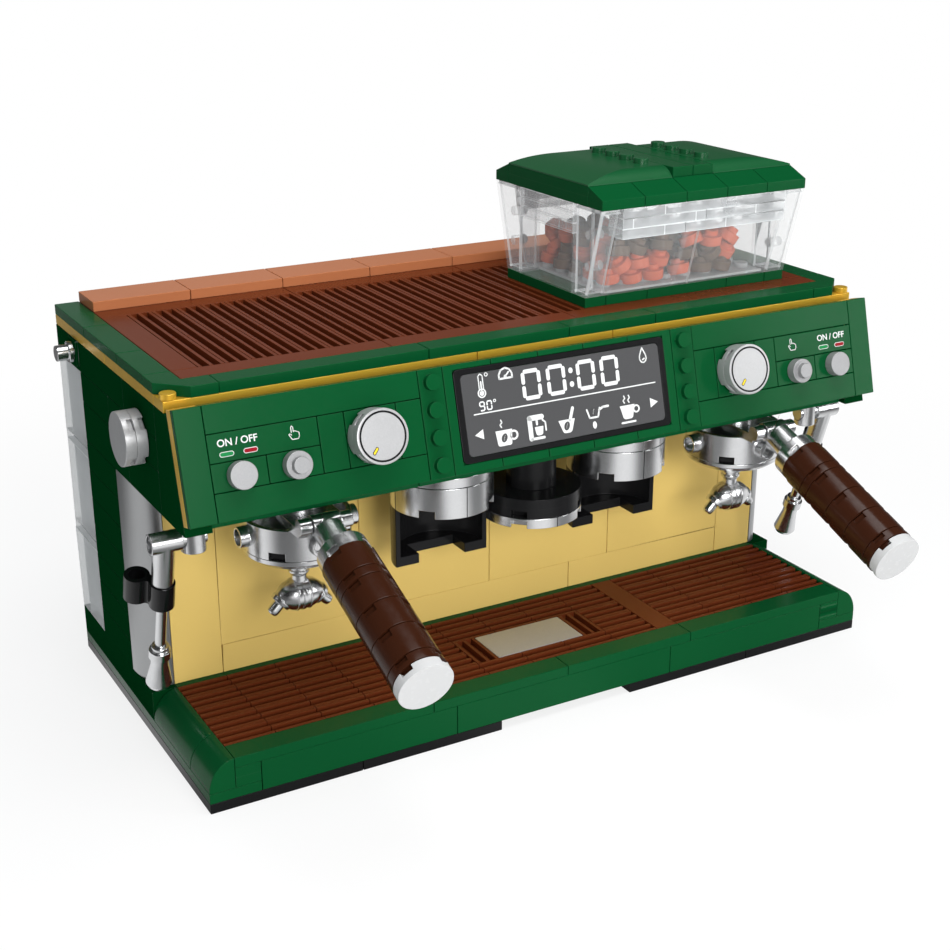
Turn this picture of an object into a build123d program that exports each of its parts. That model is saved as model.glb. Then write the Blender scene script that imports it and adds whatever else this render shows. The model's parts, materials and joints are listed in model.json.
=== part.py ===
from build123d import *
import os
from math import cos, hypot, radians, sin

# A building block model of a two-group espresso machine with a bean hopper.
# Millimetres, +Z up, the front looks along -Y, and the origin is the middle of the underside.
# Every piece lies on a grid of studs and plates, apart from the slanted fascia and the hanging wands.

# Brick grid
pitch = 8.0  # stud spacing
plate = 3.2  # height of a plate or a tile
brick = 3 * plate
seam = 0.1  # bare strip at each side of a piece
stud_diameter = 4.8
stud_height = 1.8
panel_wall = 1.6  # wall of a thin moulded panel
axle_diameter = 4.8
bar_diameter = 3.2
running_gap = 0.05  # radial play of a shaft in its hole
moving_gap = 0.2  # bare space between faces that pass each other
overrun = 1.0  # how far a cut passes the face it opens
small_span = 2 * pitch  # studs across a small round brick
large_span = 4 * pitch  # studs across a large round brick

# Base and tray, counted in studs
base_width = 30 * pitch
base_depth = 15 * pitch
foot_gap = 6 * pitch  # width of the bare stretch in the middle of the front
foot_gap_depth = 2 * pitch
foot_length = 6 * pitch
end_width = 2 * pitch  # width of the base plate at each end
curve_length = 6 * pitch  # run of the rounded side edges
curve_front_length = 2 * pitch
face_tile_middle = 10 * pitch
top_tile_middle = 6 * pitch  # the two front tiles beside the middle
tray_depth = 5 * pitch
tray_field = 8 * pitch  # width of the outer grille fields
grille_length = 2 * pitch
nameplate_width = 4 * pitch
nameplate_depth = 2 * pitch
slot_width = 2.2
slot_depth = 2.0
slots_per_tile = 2
pocket_width = 8 * pitch  # middle one of the three pockets under the frame

# Levels, counted in plates
z_foot = plate
z_base = 2 * plate
z_frame = 4 * plate
z_tray = 5 * plate
z_floor = 26 * plate  # underside of the overhanging upper body
z_gold = 36 * plate
z_deck_plate = 37 * plate
z_deck = 38 * plate
z_tank = 33 * plate
tank_storey = 10 * plate
z_wall_row = z_tray + brick  # top of the low row of wall panels

# Lower body
wall_ledge = 2.0  # green strip in front of the back wall
post_depth = 2 * pitch
tank_depth = 3 * pitch
wall_column = 2 * pitch  # width of the full height panel at each end of the wall
wall_panel = 6 * pitch
wall_row_panel = 8 * pitch
rear_brick = 8 * pitch

# Upper body and deck
deck_depth = 13 * pitch
floor_depth = 13 * pitch
bulkhead_x = 6 * pitch  # middle of the inner bulkheads
gold_middle = 6 * pitch
corner_stud_diameter = 4.6
side_tile = 4 * pitch
side_tile_front = 3 * pitch
front_seam_x = pitch  # seam in the front border, right of the middle
front_tile = 8 * pitch
rail_depth = 2 * pitch
rail_tile = 4 * pitch

# Fascia: x across, t down the face from its top edge, h out of the face
fascia_tilt = 14.8  # degrees back from upright
fascia_forward = 7.3  # top edge in front of the deck
fascia_clear = 4.26  # from the overhang's floor up to the fascia's lower edge
fascia_skin = 2.4  # thickness of the front tiles
stud_column_x = 5.5 * pitch
dial_x = 8 * pitch
power_x = 13 * pitch
select_x = 11 * pitch
label_width = 4 * pitch
button_tile = 2 * pitch
display_tile = 2 * pitch
fascia_rows = 4
button_row_share = 0.625  # buttons down the face, as a share of its height
display_side = 3.2  # green edge beside the display
display_top = 1.8  # green edge above the display
display_bottom = 2.8
frame_side = 2.1  # black frame beside the screen
frame_edge = 1.75  # black frame above and below the screen
display_thickness = 1.0
display_inset = 0.8
display_radius = 1.5
knob_axle_length = 4.2
side_knob_back = 22.0  # from the front of the deck to the knob's axis
z_side_knob = 32 * plate
tap_size = 8.0  # square holder under the tap
tap_base = 0.8
tap_ring_diameter = 6.6
tap_ring_length = 1.6
tap_pin_diameter = 5.0
tap_pin_length = 3.6

# Group heads and portafilters
group_x = 10 * pitch
group_back = 3 * pitch  # from the front of the base to the group heads
z_ring = 21 * plate
ring_height = brick
ring_wall = 1.6
ring_recess = 6.0
dish_lip = 1.4
dish_foot_diameter = 27.0
hub_height = plate
notch_width = 5.0
notch_height = 2.4
notch_depth = 3.0
boss_diameter = 6.4
boss_length = 2.6
boss_hole_depth = 2.0
hinge_forward = 2.5 * pitch  # from the group head's axis to the hinge bar
lug_diameter = 4.8
lug_width = 3.6
bracket_width = 2 * pitch
handle_tilt = 21.0  # degrees below level
knuckle_diameter = 6.0
neck_start = 3.0  # from the hinge along the handle
neck_length = 9.0
neck_diameter = 9.0
collar_length = 4.6
collar_diameter = 15.0
collar_notch_width = 3.6
collar_notch_height = 1.6
collar_notch_depth = 1.3
grip_plates = (3, 1, 3, 3, 3, 1)  # heights of the grip's pieces, from the hinge
spout_reach = 8.5  # from the middle to each tip
spout_stem_diameter = 5.2
spout_pipe_diameter = 5.6
spout_tip_diameter = 3.8
spout_tip_length = 5.0
spout_knot_diameter = 7.2
spout_drop = 10.2  # from the dish to the fork of the two pipes
spout_fall = 4.0  # how far the pipes fall to their tips

# Dosing heads, forks and tamper
doser_x = 4 * pitch
z_doser = 22 * plate
fork_notch = 2 * pitch
fork_notch_depth = pitch
z_fork = 16 * plate
z_tamper = 19 * plate

# Steam wands
wand_mount_in = 8.5  # mount's axis in from the side
wand_mount_diameter = 7.2
wand_drop = 8.0  # pivot below the upper body
wand_mount_length = 12.2
wand_lean = 17.0  # degrees, foot of the wand to the back
tee_diameter = 6.4
tee_outer = 4.4  # from the leg's axis to the outer end of the tee
tee_hole_depth = 1.6
leg_length = 14.6
clip_length = 8.2
clip_diameter = 7.4
clip_reach = pitch
clip_turn = 45.0  # degrees, far ring turned out from the back
clip_web = 3.0
rod_end = 44.0
nozzle_start = 38.8
nozzle_lip_length = 1.4
nozzle_lip_diameter = 5.2
nozzle_ring_length = 3.0
nozzle_ring_diameter = 6.6
nozzle_neck_length = 2.6
nozzle_neck_diameter = 5.2
nozzle_diameter = 7.8
nozzle_rim_length = 1.4
nozzle_rim_diameter = 6.2
wand_length = 54.5

# Bean hopper
hopper_x = 3 * pitch  # left side of the hopper from the middle
hopper_width = 10 * pitch
hopper_depth = 6 * pitch
hopper_back = 2 * pitch  # from the front of the deck to the hopper
hopper_height = 3 * brick
hopper_flare = pitch  # how far the front and back lean out
header_rows = 3
header_height = header_rows * plate
divider_lean = 6.0
base_seam = 3 * pitch  # inner seam of the hopper's base from its end
bean_room = 0.14  # bare space between neighbouring beans
bean_tilt = 32.0  # steepest tilt, degrees
bean_turn = 2.4  # step of the tilt from bean to bean
bean_twist = 137.5  # degrees between one bean's heading and the next
bean_rows = 4
bean_layers = 3
ridge_width = pitch
lid_flat = 2 * pitch  # from the middle of the lid to where the domes start to fall
lid_tile = 2 * pitch
lid_studs = 4
dome_lip = 0.8  # upright edge round each dome

# Places worked out from the sizes above
x_side = base_width / 2
y_front = -base_depth / 2
y_back = base_depth / 2
x_inner = x_side - pitch
piece_diameter = pitch - 2 * seam
round_small = small_span - 2 * seam
round_large = large_span - 2 * seam
y_tray_front = y_front + pitch
y_tray_back = y_tray_front + tray_depth
y_wall = y_tray_back + wall_ledge
y_core = y_wall + plate
y_post = y_wall + post_depth
y_tank = y_back - tank_depth
y_rear = y_back - pitch
y_deck = y_back - deck_depth
y_floor = y_rear - floor_depth
y_group = y_front + group_back
y_rail = y_back - rail_depth
fascia_depth = fascia_skin + plate
fascia_height = (z_deck_plate - z_floor - fascia_clear) / cos(radians(fascia_tilt))
button_t = button_row_share * fascia_height
x_display = stud_column_x - pitch / 2
display_width = 2 * (x_display - display_side)
display_height = fascia_height - display_top - display_bottom
screen_width = display_width - 2 * frame_side
screen_height = display_height - 2 * frame_edge
z_hinge = z_floor - moving_gap - knuckle_diameter / 2
z_wand = z_floor - wand_drop
wand_mount_x = x_side - wand_mount_in
y_tap = y_tank + tap_size / 2
z_tap = z_gold - tap_size / 2
bean_height = plate + stud_height
bean_cell = hypot(piece_diameter, bean_height) + bean_room
z_lid = z_deck + plate + hopper_height
x_hopper = hopper_x + hopper_width
y_hopper = y_deck + hopper_back
y_hopper_back = y_hopper + hopper_depth
fascia = Plane(
    origin=(0, y_deck - fascia_forward, z_deck_plate),
    x_dir=(1, 0, 0),
    z_dir=(0, -cos(radians(fascia_tilt)), sin(radians(fascia_tilt))),
)


def block(x0, x1, y0, y1, z0, z1):
    """A box between two corners."""
    middle = Pos((x0 + x1) / 2, (y0 + y1) / 2, (z0 + z1) / 2)
    return middle * Box(abs(x1 - x0), abs(y1 - y0), abs(z1 - z0))


def tile(x0, x1, y0, y1, z0, z1):
    """A box with the bare strip of a brick at its four sides."""
    return block(x0 + seam, x1 - seam, y0 + seam, y1 - seam, z0, z1)


def face_tile(x0, x1, t0, t1, h0=-fascia_skin, h1=0):
    """A tile on the slanted fascia."""
    return fascia * tile(x0, x1, -t1, -t0, h0, h1)


def rod(start, direction, length, diameter, end_diameter=None):
    """A round bar, or a cone where the end has another diameter."""
    align = (Align.CENTER, Align.CENTER, Align.MIN)
    if end_diameter is None:
        shape = Cylinder(diameter / 2, length, align=align)
    else:
        shape = Cone(diameter / 2, end_diameter / 2, length, align=align)
    return Plane(origin=start, z_dir=direction) * shape


def prism_x(points, x0, x1):
    """A YZ outline, extruded from x0 to x1."""
    outline = Plane(origin=(x0, 0, 0), x_dir=(0, 1, 0), z_dir=(1, 0, 0)) * Polygon(*points, align=None)
    return extrude(outline, x1 - x0, dir=(1, 0, 0))


def prism_y(points, y0, y1):
    """An XZ outline, extruded from y0 to y1."""
    outline = Plane(origin=(0, y1, 0), x_dir=(1, 0, 0), z_dir=(0, -1, 0)) * Polygon(*points, align=None)
    return extrude(outline, y1 - y0, dir=(0, -1, 0))


def mirrored(shapes):
    """The shapes and their mirror images across the middle plane."""
    return shapes + [mirror(shape, about=Plane.YZ) for shape in shapes]


def spans(start, end, *seams):
    """The stretches between two ends, cut at the seams."""
    edges = [start, *seams, end]
    return list(zip(edges[:-1], edges[1:]))


def courses(start, end, length):
    """Stretches of one length that fill a run; the last one takes what is left."""
    count = max(1, round((end - start) / length))
    edges = [start + length * i for i in range(count)] + [end]
    return list(zip(edges[:-1], edges[1:]))


def fascia_back(z):
    """Y of the fascia's rear face at a height."""
    rise = z - z_deck_plate
    tilt = radians(fascia_tilt)
    return y_deck - fascia_forward + (sin(tilt) * rise + fascia_depth) / cos(tilt)


def save(name, shapes):
    """Write one node, as one solid or as a group of separate solids."""
    solids = [solid for shape in shapes for solid in shape.solids()]
    group = solids[0] if len(solids) == 1 else Compound(children=solids)
    export_step(group, os.path.join("parts", name + ".step"))


def grille_tile(length, width):
    """A tile with open slots along X, its corner at the origin."""
    body = tile(0, length, 0, width, 0, plate)
    bar = (width - 2 * seam - slots_per_tile * slot_width) / (slots_per_tile + 1)
    for i in range(slots_per_tile):
        y = seam + bar + i * (bar + slot_width)
        body -= block(-overrun, length + overrun, y, y + slot_width, plate - slot_depth, plate + overrun)
    return body


def base():
    """Feet, plates, frame, rounded edges and front tiles."""
    feet = mirrored([
        tile(-x_side, -x_side + foot_length, y_front, y_back, 0, z_foot),
        tile(-x_side + foot_length, -foot_gap / 2, y_front, y_back, 0, z_foot),
    ])
    feet.append(tile(-foot_gap / 2, foot_gap / 2, y_front + foot_gap_depth, y_back, 0, z_foot))
    save("foot_plates", feet)

    x_end = x_side - end_width
    y_face = y_front + plate
    plates = mirrored([
        tile(-x_side, -x_end, y_front, y_back, z_foot, z_base),
        tile(-x_end, 0, y_face, y_back, z_foot, z_base),
    ])
    save("base_plates", plates)

    frame = block(-x_inner, x_inner, y_tray_front, y_back, z_base, z_frame)
    frame += block(-x_end, x_end, y_face, y_tray_front, z_base, z_frame)
    frame += block(-x_inner, x_inner, y_tray_back, y_back, z_frame, z_tray)
    for x0, x1 in spans(-x_inner, x_inner, -pocket_width / 2, pocket_width / 2):
        for y0, y1 in spans(y_tray_front, y_back, y_tray_back):
            frame -= block(x0 + pitch, x1 - pitch, y0 + pitch, y1 - pitch, z_base - overrun, z_base + plate)
    stacks = mirrored([
        tile(-x_inner, -x_end, y_front, y_tray_front, z_base, z_base + plate),
        tile(-x_inner, -x_end, y_front, y_tray_front, z_base + plate, z_frame),
    ])
    save("base_bricks", [frame] + stacks)

    edges = []
    for y0, y1 in spans(y_front, y_front + curve_length, y_front + curve_front_length):
        outline = Plane(origin=(-x_inner, y1 - seam, z_base), x_dir=(-1, 0, 0), z_dir=(0, -1, 0))
        quarter = Ellipse(pitch - seam, z_tray - z_base) & Rectangle(
            base_width, base_width, align=(Align.MIN, Align.MAX))
        edges.append(extrude(outline * quarter, y1 - y0 - 2 * seam))
    save("curved_edges", mirrored(edges))

    fronts = [tile(x0, x1, y_front, y_face, z_foot, z_frame)
              for x0, x1 in spans(-x_end, x_end, -face_tile_middle / 2, face_tile_middle / 2)]
    fronts += [tile(x0, x1, y_front, y_tray_front, z_frame, z_tray)
               for x0, x1 in spans(-x_inner, x_inner, -top_tile_middle, 0, top_tile_middle)]
    save("front_tiles", fronts)


def tray():
    """The grille tiles of the drip tray, its smooth strips and the plain plate in its middle."""
    along = grille_tile(grille_length, pitch)
    turned = Rot(0, 0, 90) * along
    x_strip = x_inner - tray_field
    x_field = x_strip - pitch
    y_name = y_tray_front + pitch
    tiles = []
    for y0, y1 in courses(y_tray_front, y_tray_back, pitch):
        beside_name = y_name <= y0 < y_name + nameplate_depth
        for x0, x1 in courses(-x_inner, -x_strip, grille_length):
            tiles += [Pos(x0, y0, z_frame) * along, Pos(-x1, y0, z_frame) * along]
        for x0, x1 in courses(-x_field, x_field, grille_length):
            if not beside_name or min(abs(x0), abs(x1)) >= nameplate_width / 2:
                tiles.append(Pos(x0, y0, z_frame) * along)
    x_name = nameplate_width / 2
    tiles += [Pos(x, y_name, z_frame) * turned for x in (-x_name, x_name + pitch)]
    save("tray_grille_tiles", tiles)
    save("tray_strip_tiles", mirrored([tile(-x_strip, -x_field, y_tray_front, y_tray_back, z_frame, z_tray)]))
    save("nameplate_tile", [tile(-x_name, x_name, y_name, y_name + nameplate_depth, z_frame, z_tray)])


def lower_body():
    """The wall behind the tray, its posts, the side walls, the tank and the back."""
    x_column = x_inner - wall_column
    panels = mirrored([tile(-x_inner, -x_column, y_wall, y_core, z_tray, z_floor)])
    panels += [tile(x0, x1, y_wall, y_core, z_wall_row, z_floor)
               for x0, x1 in spans(-x_column, x_column, -wall_panel, 0, wall_panel)]
    panels += [tile(x0, x1, y_wall, y_core, z_tray, z_wall_row)
               for x0, x1 in spans(-x_column, x_column, -wall_row_panel / 2, wall_row_panel / 2)]
    save("back_wall_panels", panels)
    save("wall_core", [block(-x_inner, x_inner, y_core, y_core + pitch, z_tray, z_floor)])

    corner = Plane(origin=(-x_inner, y_post, z_tray), x_dir=(-1, 0, 0), z_dir=(0, 0, 1))
    quarter = Ellipse(pitch, post_depth) & Rectangle(base_width, base_width, align=(Align.MIN, Align.MIN))
    save("corner_posts", mirrored([extrude(corner * quarter, z_floor - z_tray)]))

    y_edge = y_front + curve_length
    sides = [tile(-x_side, -x_inner, y_edge, y_back, z_base, z_tray)]
    sides += [block(-x_side, -x_inner, y_post, y_tank - seam, z0, z1 - seam)
              for z0, z1 in courses(z_tray, z_floor, brick)]
    slant = [
        (fascia_back(z_floor), z_floor), (y_group, z_floor),
        (y_group, z_gold), (fascia_back(z_gold), z_gold),
    ]
    sides.append(prism_x(slant, -x_side, -x_inner))
    z_low = z_floor + plate + brick
    y_joint = (y_group + y_tank) / 2
    for row, (z0, z1) in enumerate(spans(z_floor, z_gold, z_low, z_low + brick)):
        cut = y_joint - pitch + (row % 2) * small_span
        z_course = z1 if z1 == z_gold else z1 - seam
        sides += [block(-x_side, -x_inner, y0 + seam, y1 - seam, z0, z_course)
                  for y0, y1 in spans(y_group + seam, y_tank, cut)]
    sides.append(block(-x_side, -x_inner, y_tank, y_back - seam, z_tank, z_gold))
    half = tap_size / 2
    holder = block(-x_side - tap_base, -x_side, y_tap - half, y_tap + half, z_tap - half, z_tap + half)
    save("side_walls", mirrored(sides) + [holder])

    storeys = courses(z_tray, z_tank + plate, tank_storey)
    glass = []
    for z0, z1 in storeys:
        for y0, y1 in spans(y_tank, y_back, y_rear):
            pane = tile(-x_side, -x_inner, y0, y1, z0, z1 - plate)
            inside = block(-x_side + panel_wall, -x_inner, y0 + panel_wall, y1 - panel_wall,
                           z0 + panel_wall, z1 - plate - panel_wall)
            glass.append(pane - inside)
        if z1 < z_tank:
            glass.append(tile(-x_side, -x_inner, y_tank, y_back, z1 - plate, z1))
    save("tank_panels", mirrored(glass))

    bricks = []
    for row, (z0, z1) in enumerate(courses(z_tray, z_gold, brick)):
        shift = (row % 2) * rear_brick / 2
        seams = [-x_inner + shift + rear_brick * i for i in range(1, int(2 * x_inner / rear_brick) + 1)]
        inner = [x for x in seams if x < x_inner - pitch]
        bricks += [tile(x0, x1, y_rear, y_back, z0, z1 - seam) for x0, x1 in spans(-x_inner, x_inner, *inner)]
    save("rear_wall_bricks", bricks)


def upper_body():
    """The floor and bulkheads that carry the overhang, the gold trim and the deck."""
    axle_hole = axle_diameter + 2 * running_gap
    floors = []
    for x0, x1 in spans(-x_inner, x_inner, -bulkhead_x, bulkhead_x):
        floors.append(tile(x0, x1, y_floor, y_rear, z_floor, z_floor + plate))
    for x in (-group_x, group_x):
        hole = rod((x, y_group, z_floor - overrun), (0, 0, 1), plate + 2 * overrun, axle_hole)
        floors = [floor - hole for floor in floors]
    z_top = z_floor + plate
    outline = [(fascia_back(z_top), z_top), (y_rear, z_top), (y_rear, z_gold), (fascia_back(z_gold), z_gold)]
    half = pitch / 2
    ribs = mirrored([prism_x(outline, -x - half, -x + half) for x in (x_inner - half, bulkhead_x)])
    save("upper_frame", floors + ribs)

    y_inner = y_deck + pitch
    gold = [tile(x0, x1, y_deck, y_inner, z_gold, z_deck_plate)
            for x0, x1 in spans(-x_side, x_side, -gold_middle / 2, gold_middle / 2)]
    gold += [tile(-x_inner, x_inner, y_rear, y_back, z_gold, z_deck_plate)]
    y_middle = (y_deck + y_back) / 2
    rails = [tile(-x_side, -x_inner, y0, y1, z_gold, z_deck_plate)
             for y0, y1 in spans(y_inner, y_back, y_middle)]
    inset = corner_stud_diameter / 2
    corner = (-x_side + inset, y_deck + inset, z_deck_plate)
    rails.append(rod(corner, (0, 0, 1), stud_height, corner_stud_diameter))
    rails.append(face_tile(-x_side, -x_inner, 0, fascia_height, -fascia_depth, -fascia_skin))
    save("gold_trim", gold + mirrored(rails))

    save("deck_plates", [tile(x0, x1, y_inner, y_rear, z_gold, z_deck_plate)
                         for x0, x1 in spans(-x_inner, x_inner, -bulkhead_x, bulkhead_x)])

    x_corner = x_inner - pitch
    y_corner = y_inner + pitch
    corner = [
        (-x_side, y_corner), (-x_side, y_inner), (-x_inner, y_deck), (-x_corner, y_deck),
        (-x_corner, y_inner), (-x_inner, y_inner), (-x_inner, y_corner),
    ]
    flat = Plane(origin=(0, 0, z_deck_plate)) * Polygon(*corner, align=None)
    border = [extrude(flat, plate)]
    y_sides = spans(y_corner, y_back, y_corner + side_tile_front, y_back - side_tile)
    border += [tile(-x_side, -x_inner, y0, y1, z_deck_plate, z_deck) for y0, y1 in y_sides]
    x_seam = x_corner - front_tile
    fronts = [tile(x0, x1, y_deck, y_inner, z_deck_plate, z_deck)
              for x0, x1 in spans(-x_corner, x_corner, -x_seam, front_seam_x, x_seam)]
    save("deck_border_tiles", fronts + mirrored(border))

    y_grille = y_inner + pitch
    y_margin = y_rail - pitch
    margins = mirrored([tile(-x_inner, -x_corner, y_grille, y_margin, z_deck_plate, z_deck)])
    margins += [tile(x0, x1, y_inner, y_grille, z_deck_plate, z_deck)
                for x0, x1 in courses(-x_inner, x_inner, front_tile)]
    margins += [tile(x0, x1, y_margin, y_rail, z_deck_plate, z_deck)
                for x0, x1 in courses(-x_inner, x_inner, front_tile)]
    margins.append(tile(-x_inner, x_inner, y_rail, y_back, z_deck_plate, z_deck))
    margins.append(tile(hopper_x, x_hopper, y_hopper, y_hopper_back, z_deck_plate, z_deck))
    save("deck_margin_tiles", margins)

    slotted = Rot(0, 0, 90) * grille_tile(grille_length, pitch)
    tiles = []
    for x0, x1 in courses(-x_corner, x_corner, pitch):
        for y0, y1 in courses(y_grille, y_margin, grille_length):
            covered = x0 >= hopper_x - seam and y1 <= y_hopper_back + seam
            if not covered:
                tiles.append(Pos(x1, y0, z_deck_plate) * slotted)
    save("deck_grille_tiles", tiles)
    save("rear_rail_tiles", [tile(x0, x1, y_rail, y_back, z_deck, z_deck + plate)
                             for x0, x1 in courses(-x_inner, x_inner, rail_tile)])


def control_panel():
    """The slanted fascia with its tiles, display and buttons, and the axles of the knobs."""
    save("fascia_backing", [face_tile(x0, x1, 0, fascia_height, -fascia_depth, -fascia_skin)
                            for x0, x1 in spans(-x_inner, x_inner, -bulkhead_x, bulkhead_x)])
    x_panel = stud_column_x + pitch / 2
    row = fascia_height / fascia_rows
    x_label = -x_inner + label_width
    x_button = -x_inner + button_tile
    left = [
        face_tile(-x_side, -x_inner, 0, fascia_height),
        face_tile(-x_inner, -x_panel, 0, row),
        face_tile(-x_inner, x_label, row, 2 * row),
        face_tile(-x_inner, x_button, 2 * row, 3 * row),
        face_tile(x_button, x_label, 2 * row, 3 * row),
        face_tile(x_label, -dial_x - pitch, row, 3 * row),
        face_tile(-dial_x - pitch, -dial_x + pitch, row, 3 * row),
        face_tile(-dial_x + pitch, -x_panel, row, 3 * row),
        face_tile(-x_inner, -x_panel, 3 * row, fascia_height),
    ]
    column = face_tile(-x_panel, -x_display, 0, fascia_height)
    stud = rod((0, 0, 0), (0, 0, 1), stud_height, stud_diameter)
    for i in range(fascia_rows):
        column += fascia * Pos(-stud_column_x, -i * row - row / 2, 0) * stud
    left.append(column)
    x_pocket = display_width / 2 + seam
    y_pocket = -display_top - display_height - seam
    pocket = fascia * block(-x_pocket, x_pocket, y_pocket, -display_top + seam, -display_inset, overrun)
    middle = [face_tile(x0, x1, 0, fascia_height) - pocket
              for x0, x1 in courses(-x_display, x_display, display_tile)]
    save("fascia_tiles", mirrored(left) + middle)

    t_middle = display_top + display_height / 2
    place = fascia * Pos(0, -t_middle, -display_inset)
    frame = RectangleRounded(display_width, display_height, display_radius)
    screen = RectangleRounded(screen_width, screen_height, display_radius)
    gap = RectangleRounded(screen_width + 2 * seam, screen_height + 2 * seam, display_radius + seam)
    save("display_frame", [place * extrude(frame - gap, display_thickness)])
    save("display_screen", [place * extrude(screen, display_thickness)])

    power = fascia * Pos(-power_x, -button_t, 0) * rod((0, 0, 0), (0, 0, 1), plate, piece_diameter)
    select = rod((0, 0, 0), (0, 0, 1), plate, piece_diameter)
    select += rod((0, 0, plate), (0, 0, 1), stud_height, stud_diameter)
    save("panel_buttons", mirrored([power, fascia * Pos(-select_x, -button_t, 0) * select]))

    side_knob = (-x_side, y_deck + side_knob_back, z_side_knob)
    dial_place = fascia * Pos(-dial_x, -fascia_height / 2, 0)
    axles = [
        dial_place * rod((0, 0, 0), (0, 0, 1), knob_axle_length, axle_diameter),
        rod(side_knob, (-1, 0, 0), knob_axle_length, axle_diameter),
    ]
    save("knob_axles", mirrored(axles))

    bore = rod((0, 0, 0), (0, 0, 1), knob_axle_length + moving_gap, axle_diameter + 2 * running_gap)
    knob = [
        rod((0, 0, moving_gap), (0, 0, 1), plate, round_small) - bore,
        rod((0, 0, moving_gap + plate), (0, 0, 1), plate, round_small) - bore,
    ]
    dial = [dial_place * shape for shape in knob]
    turned = Plane(origin=side_knob, z_dir=(-1, 0, 0))
    side = [turned * shape for shape in knob]
    for name, shapes in (("dial", dial), ("side_knob", side)):
        save("left_" + name, shapes)
        save("right_" + name, [mirror(shape, about=Plane.YZ) for shape in shapes])

    x_ring = -x_side - tap_base
    x_pin = x_ring - tap_ring_length
    tap = rod((x_ring, y_tap, z_tap), (-1, 0, 0), tap_ring_length, tap_ring_diameter)
    tap += rod((x_pin, y_tap, z_tap), (-1, 0, 0), tap_pin_length, tap_pin_diameter)
    save("rear_tap", [tap])


def notched_ring(x, z, height, diameter):
    """A round brick with a small notch at the foot of each diagonal."""
    ring = rod((x, y_group, z), (0, 0, 1), height, diameter)
    half = notch_width / 2
    slot = block(diameter / 2 - notch_depth, diameter, -half, half, -overrun, notch_height)
    for i in range(4):
        ring -= Pos(x, y_group, z) * Rot(0, 0, 45 + 90 * i) * slot
    return ring


def portafilter():
    """The left basket that turns on the group head's axle, with the lugs of the handle's hinge."""
    x = -group_x
    z_top = z_ring + ring_height
    hub_top = z_top + hub_height - moving_gap
    ring = notched_ring(x, z_ring, ring_height, round_large)
    inside = round_large - 2 * ring_wall
    ring -= rod((x, y_group, z_top - ring_recess), (0, 0, 1), ring_recess + overrun, inside)
    ring += rod((x, y_group, z_ring), (0, 0, 1), hub_top - z_ring, round_small)
    for i in range(4):
        reach = round_large / 2 + boss_length
        root = (round_large - ring_wall) / 2
        boss = rod((root, 0, 0), (1, 0, 0), reach - root, boss_diameter)
        hole = rod((reach - boss_hole_depth, 0, 0), (1, 0, 0), boss_hole_depth + overrun, axle_diameter)
        place = Pos(x, y_group, z_ring + ring_height / 2) * Rot(0, 0, 90 * i)
        ring += place * boss
        ring -= place * hole
    y_hinge = y_group - hinge_forward
    half = bracket_width / 2
    clear = half - lug_width
    bracket = block(x - half, x + half, y_hinge, y_group - round_small / 4, z_top - seam, hub_top)
    bracket -= block(x - clear, x + clear, y_hinge - overrun, y_hinge + knuckle_diameter / 2 + moving_gap,
                     z_top - overrun, hub_top + overrun)
    for side in (-1, 1):
        bracket += rod((x + side * clear, y_hinge, z_hinge), (side, 0, 0), lug_width, lug_diameter)
    bar_end = clear + lug_width / 2
    ring += bracket + rod((x - bar_end, y_hinge, z_hinge), (1, 0, 0), 2 * bar_end, bar_diameter)
    dish_height = plate - dish_lip
    dish = rod((x, y_group, z_ring), (0, 0, -1), dish_lip, round_large)
    dish += rod((x, y_group, z_ring - dish_lip), (0, 0, -1), dish_height, round_large, dish_foot_diameter)
    bore_height = hub_top - z_ring + plate + overrun
    bore = rod((x, y_group, z_ring - plate), (0, 0, 1), bore_height, axle_diameter + 2 * running_gap)
    return [ring - bore, dish - bore]


def spout():
    """The left double spout under the dish."""
    x = -group_x
    top = z_ring - plate
    fork = top - spout_drop
    pipe = rod((x, y_group, top), (0, 0, -1), spout_drop, spout_stem_diameter)
    pipe += Pos(x, y_group, fork) * Sphere(spout_knot_diameter / 2)
    for side in (-1, 1):
        run = Vector(side * spout_reach, 0, -spout_fall)
        bend = Vector(x, y_group, fork) + run
        pipe += rod((x, y_group, fork), run, run.length, spout_pipe_diameter, spout_tip_diameter)
        pipe += rod(bend, (0, 0, -1), spout_tip_length, spout_tip_diameter)
        pipe += Pos(bend) * Sphere(spout_tip_diameter / 2)
    return [pipe]


def handle():
    """The left handle from its hinge: knuckle, neck and collar, grip bricks and end cap."""
    y_hinge = y_group - hinge_forward
    tilt = radians(handle_tilt)
    axis = Vector(0, -cos(tilt), -sin(tilt))
    hinge = Vector(-group_x, y_hinge, z_hinge)
    clear = bracket_width / 2 - lug_width - moving_gap
    collar = rod((-group_x - clear, y_hinge, z_hinge), (1, 0, 0), 2 * clear, knuckle_diameter)
    collar += rod(hinge, axis, neck_start, knuckle_diameter)
    collar += rod(hinge + axis * neck_start, axis, neck_length, neck_diameter)
    collar_start = neck_start + neck_length
    grip_start = collar_start + collar_length
    collar += rod(hinge + axis * collar_start, axis, collar_length, collar_diameter)
    half = collar_notch_width / 2
    notch = block(collar_diameter / 2 - collar_notch_depth, collar_diameter, -half, half,
                  -collar_notch_height, overrun)
    collar_end = Plane(origin=hinge + axis * grip_start, x_dir=(1, 0, 0), z_dir=axis)
    for i in range(4):
        collar -= collar_end * Rot(0, 0, 45 + 90 * i) * notch
    collar -= rod((-group_x - clear, y_hinge, z_hinge), (1, 0, 0), 2 * clear, bar_diameter + 2 * running_gap)
    grip = []
    along = grip_start
    for count in grip_plates:
        grip.append(rod(hinge + axis * along, axis, count * plate - seam, round_small))
        along += count * plate
    cap = rod(hinge + axis * along, axis, plate, round_small)
    return [collar], grip, [cap]


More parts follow.
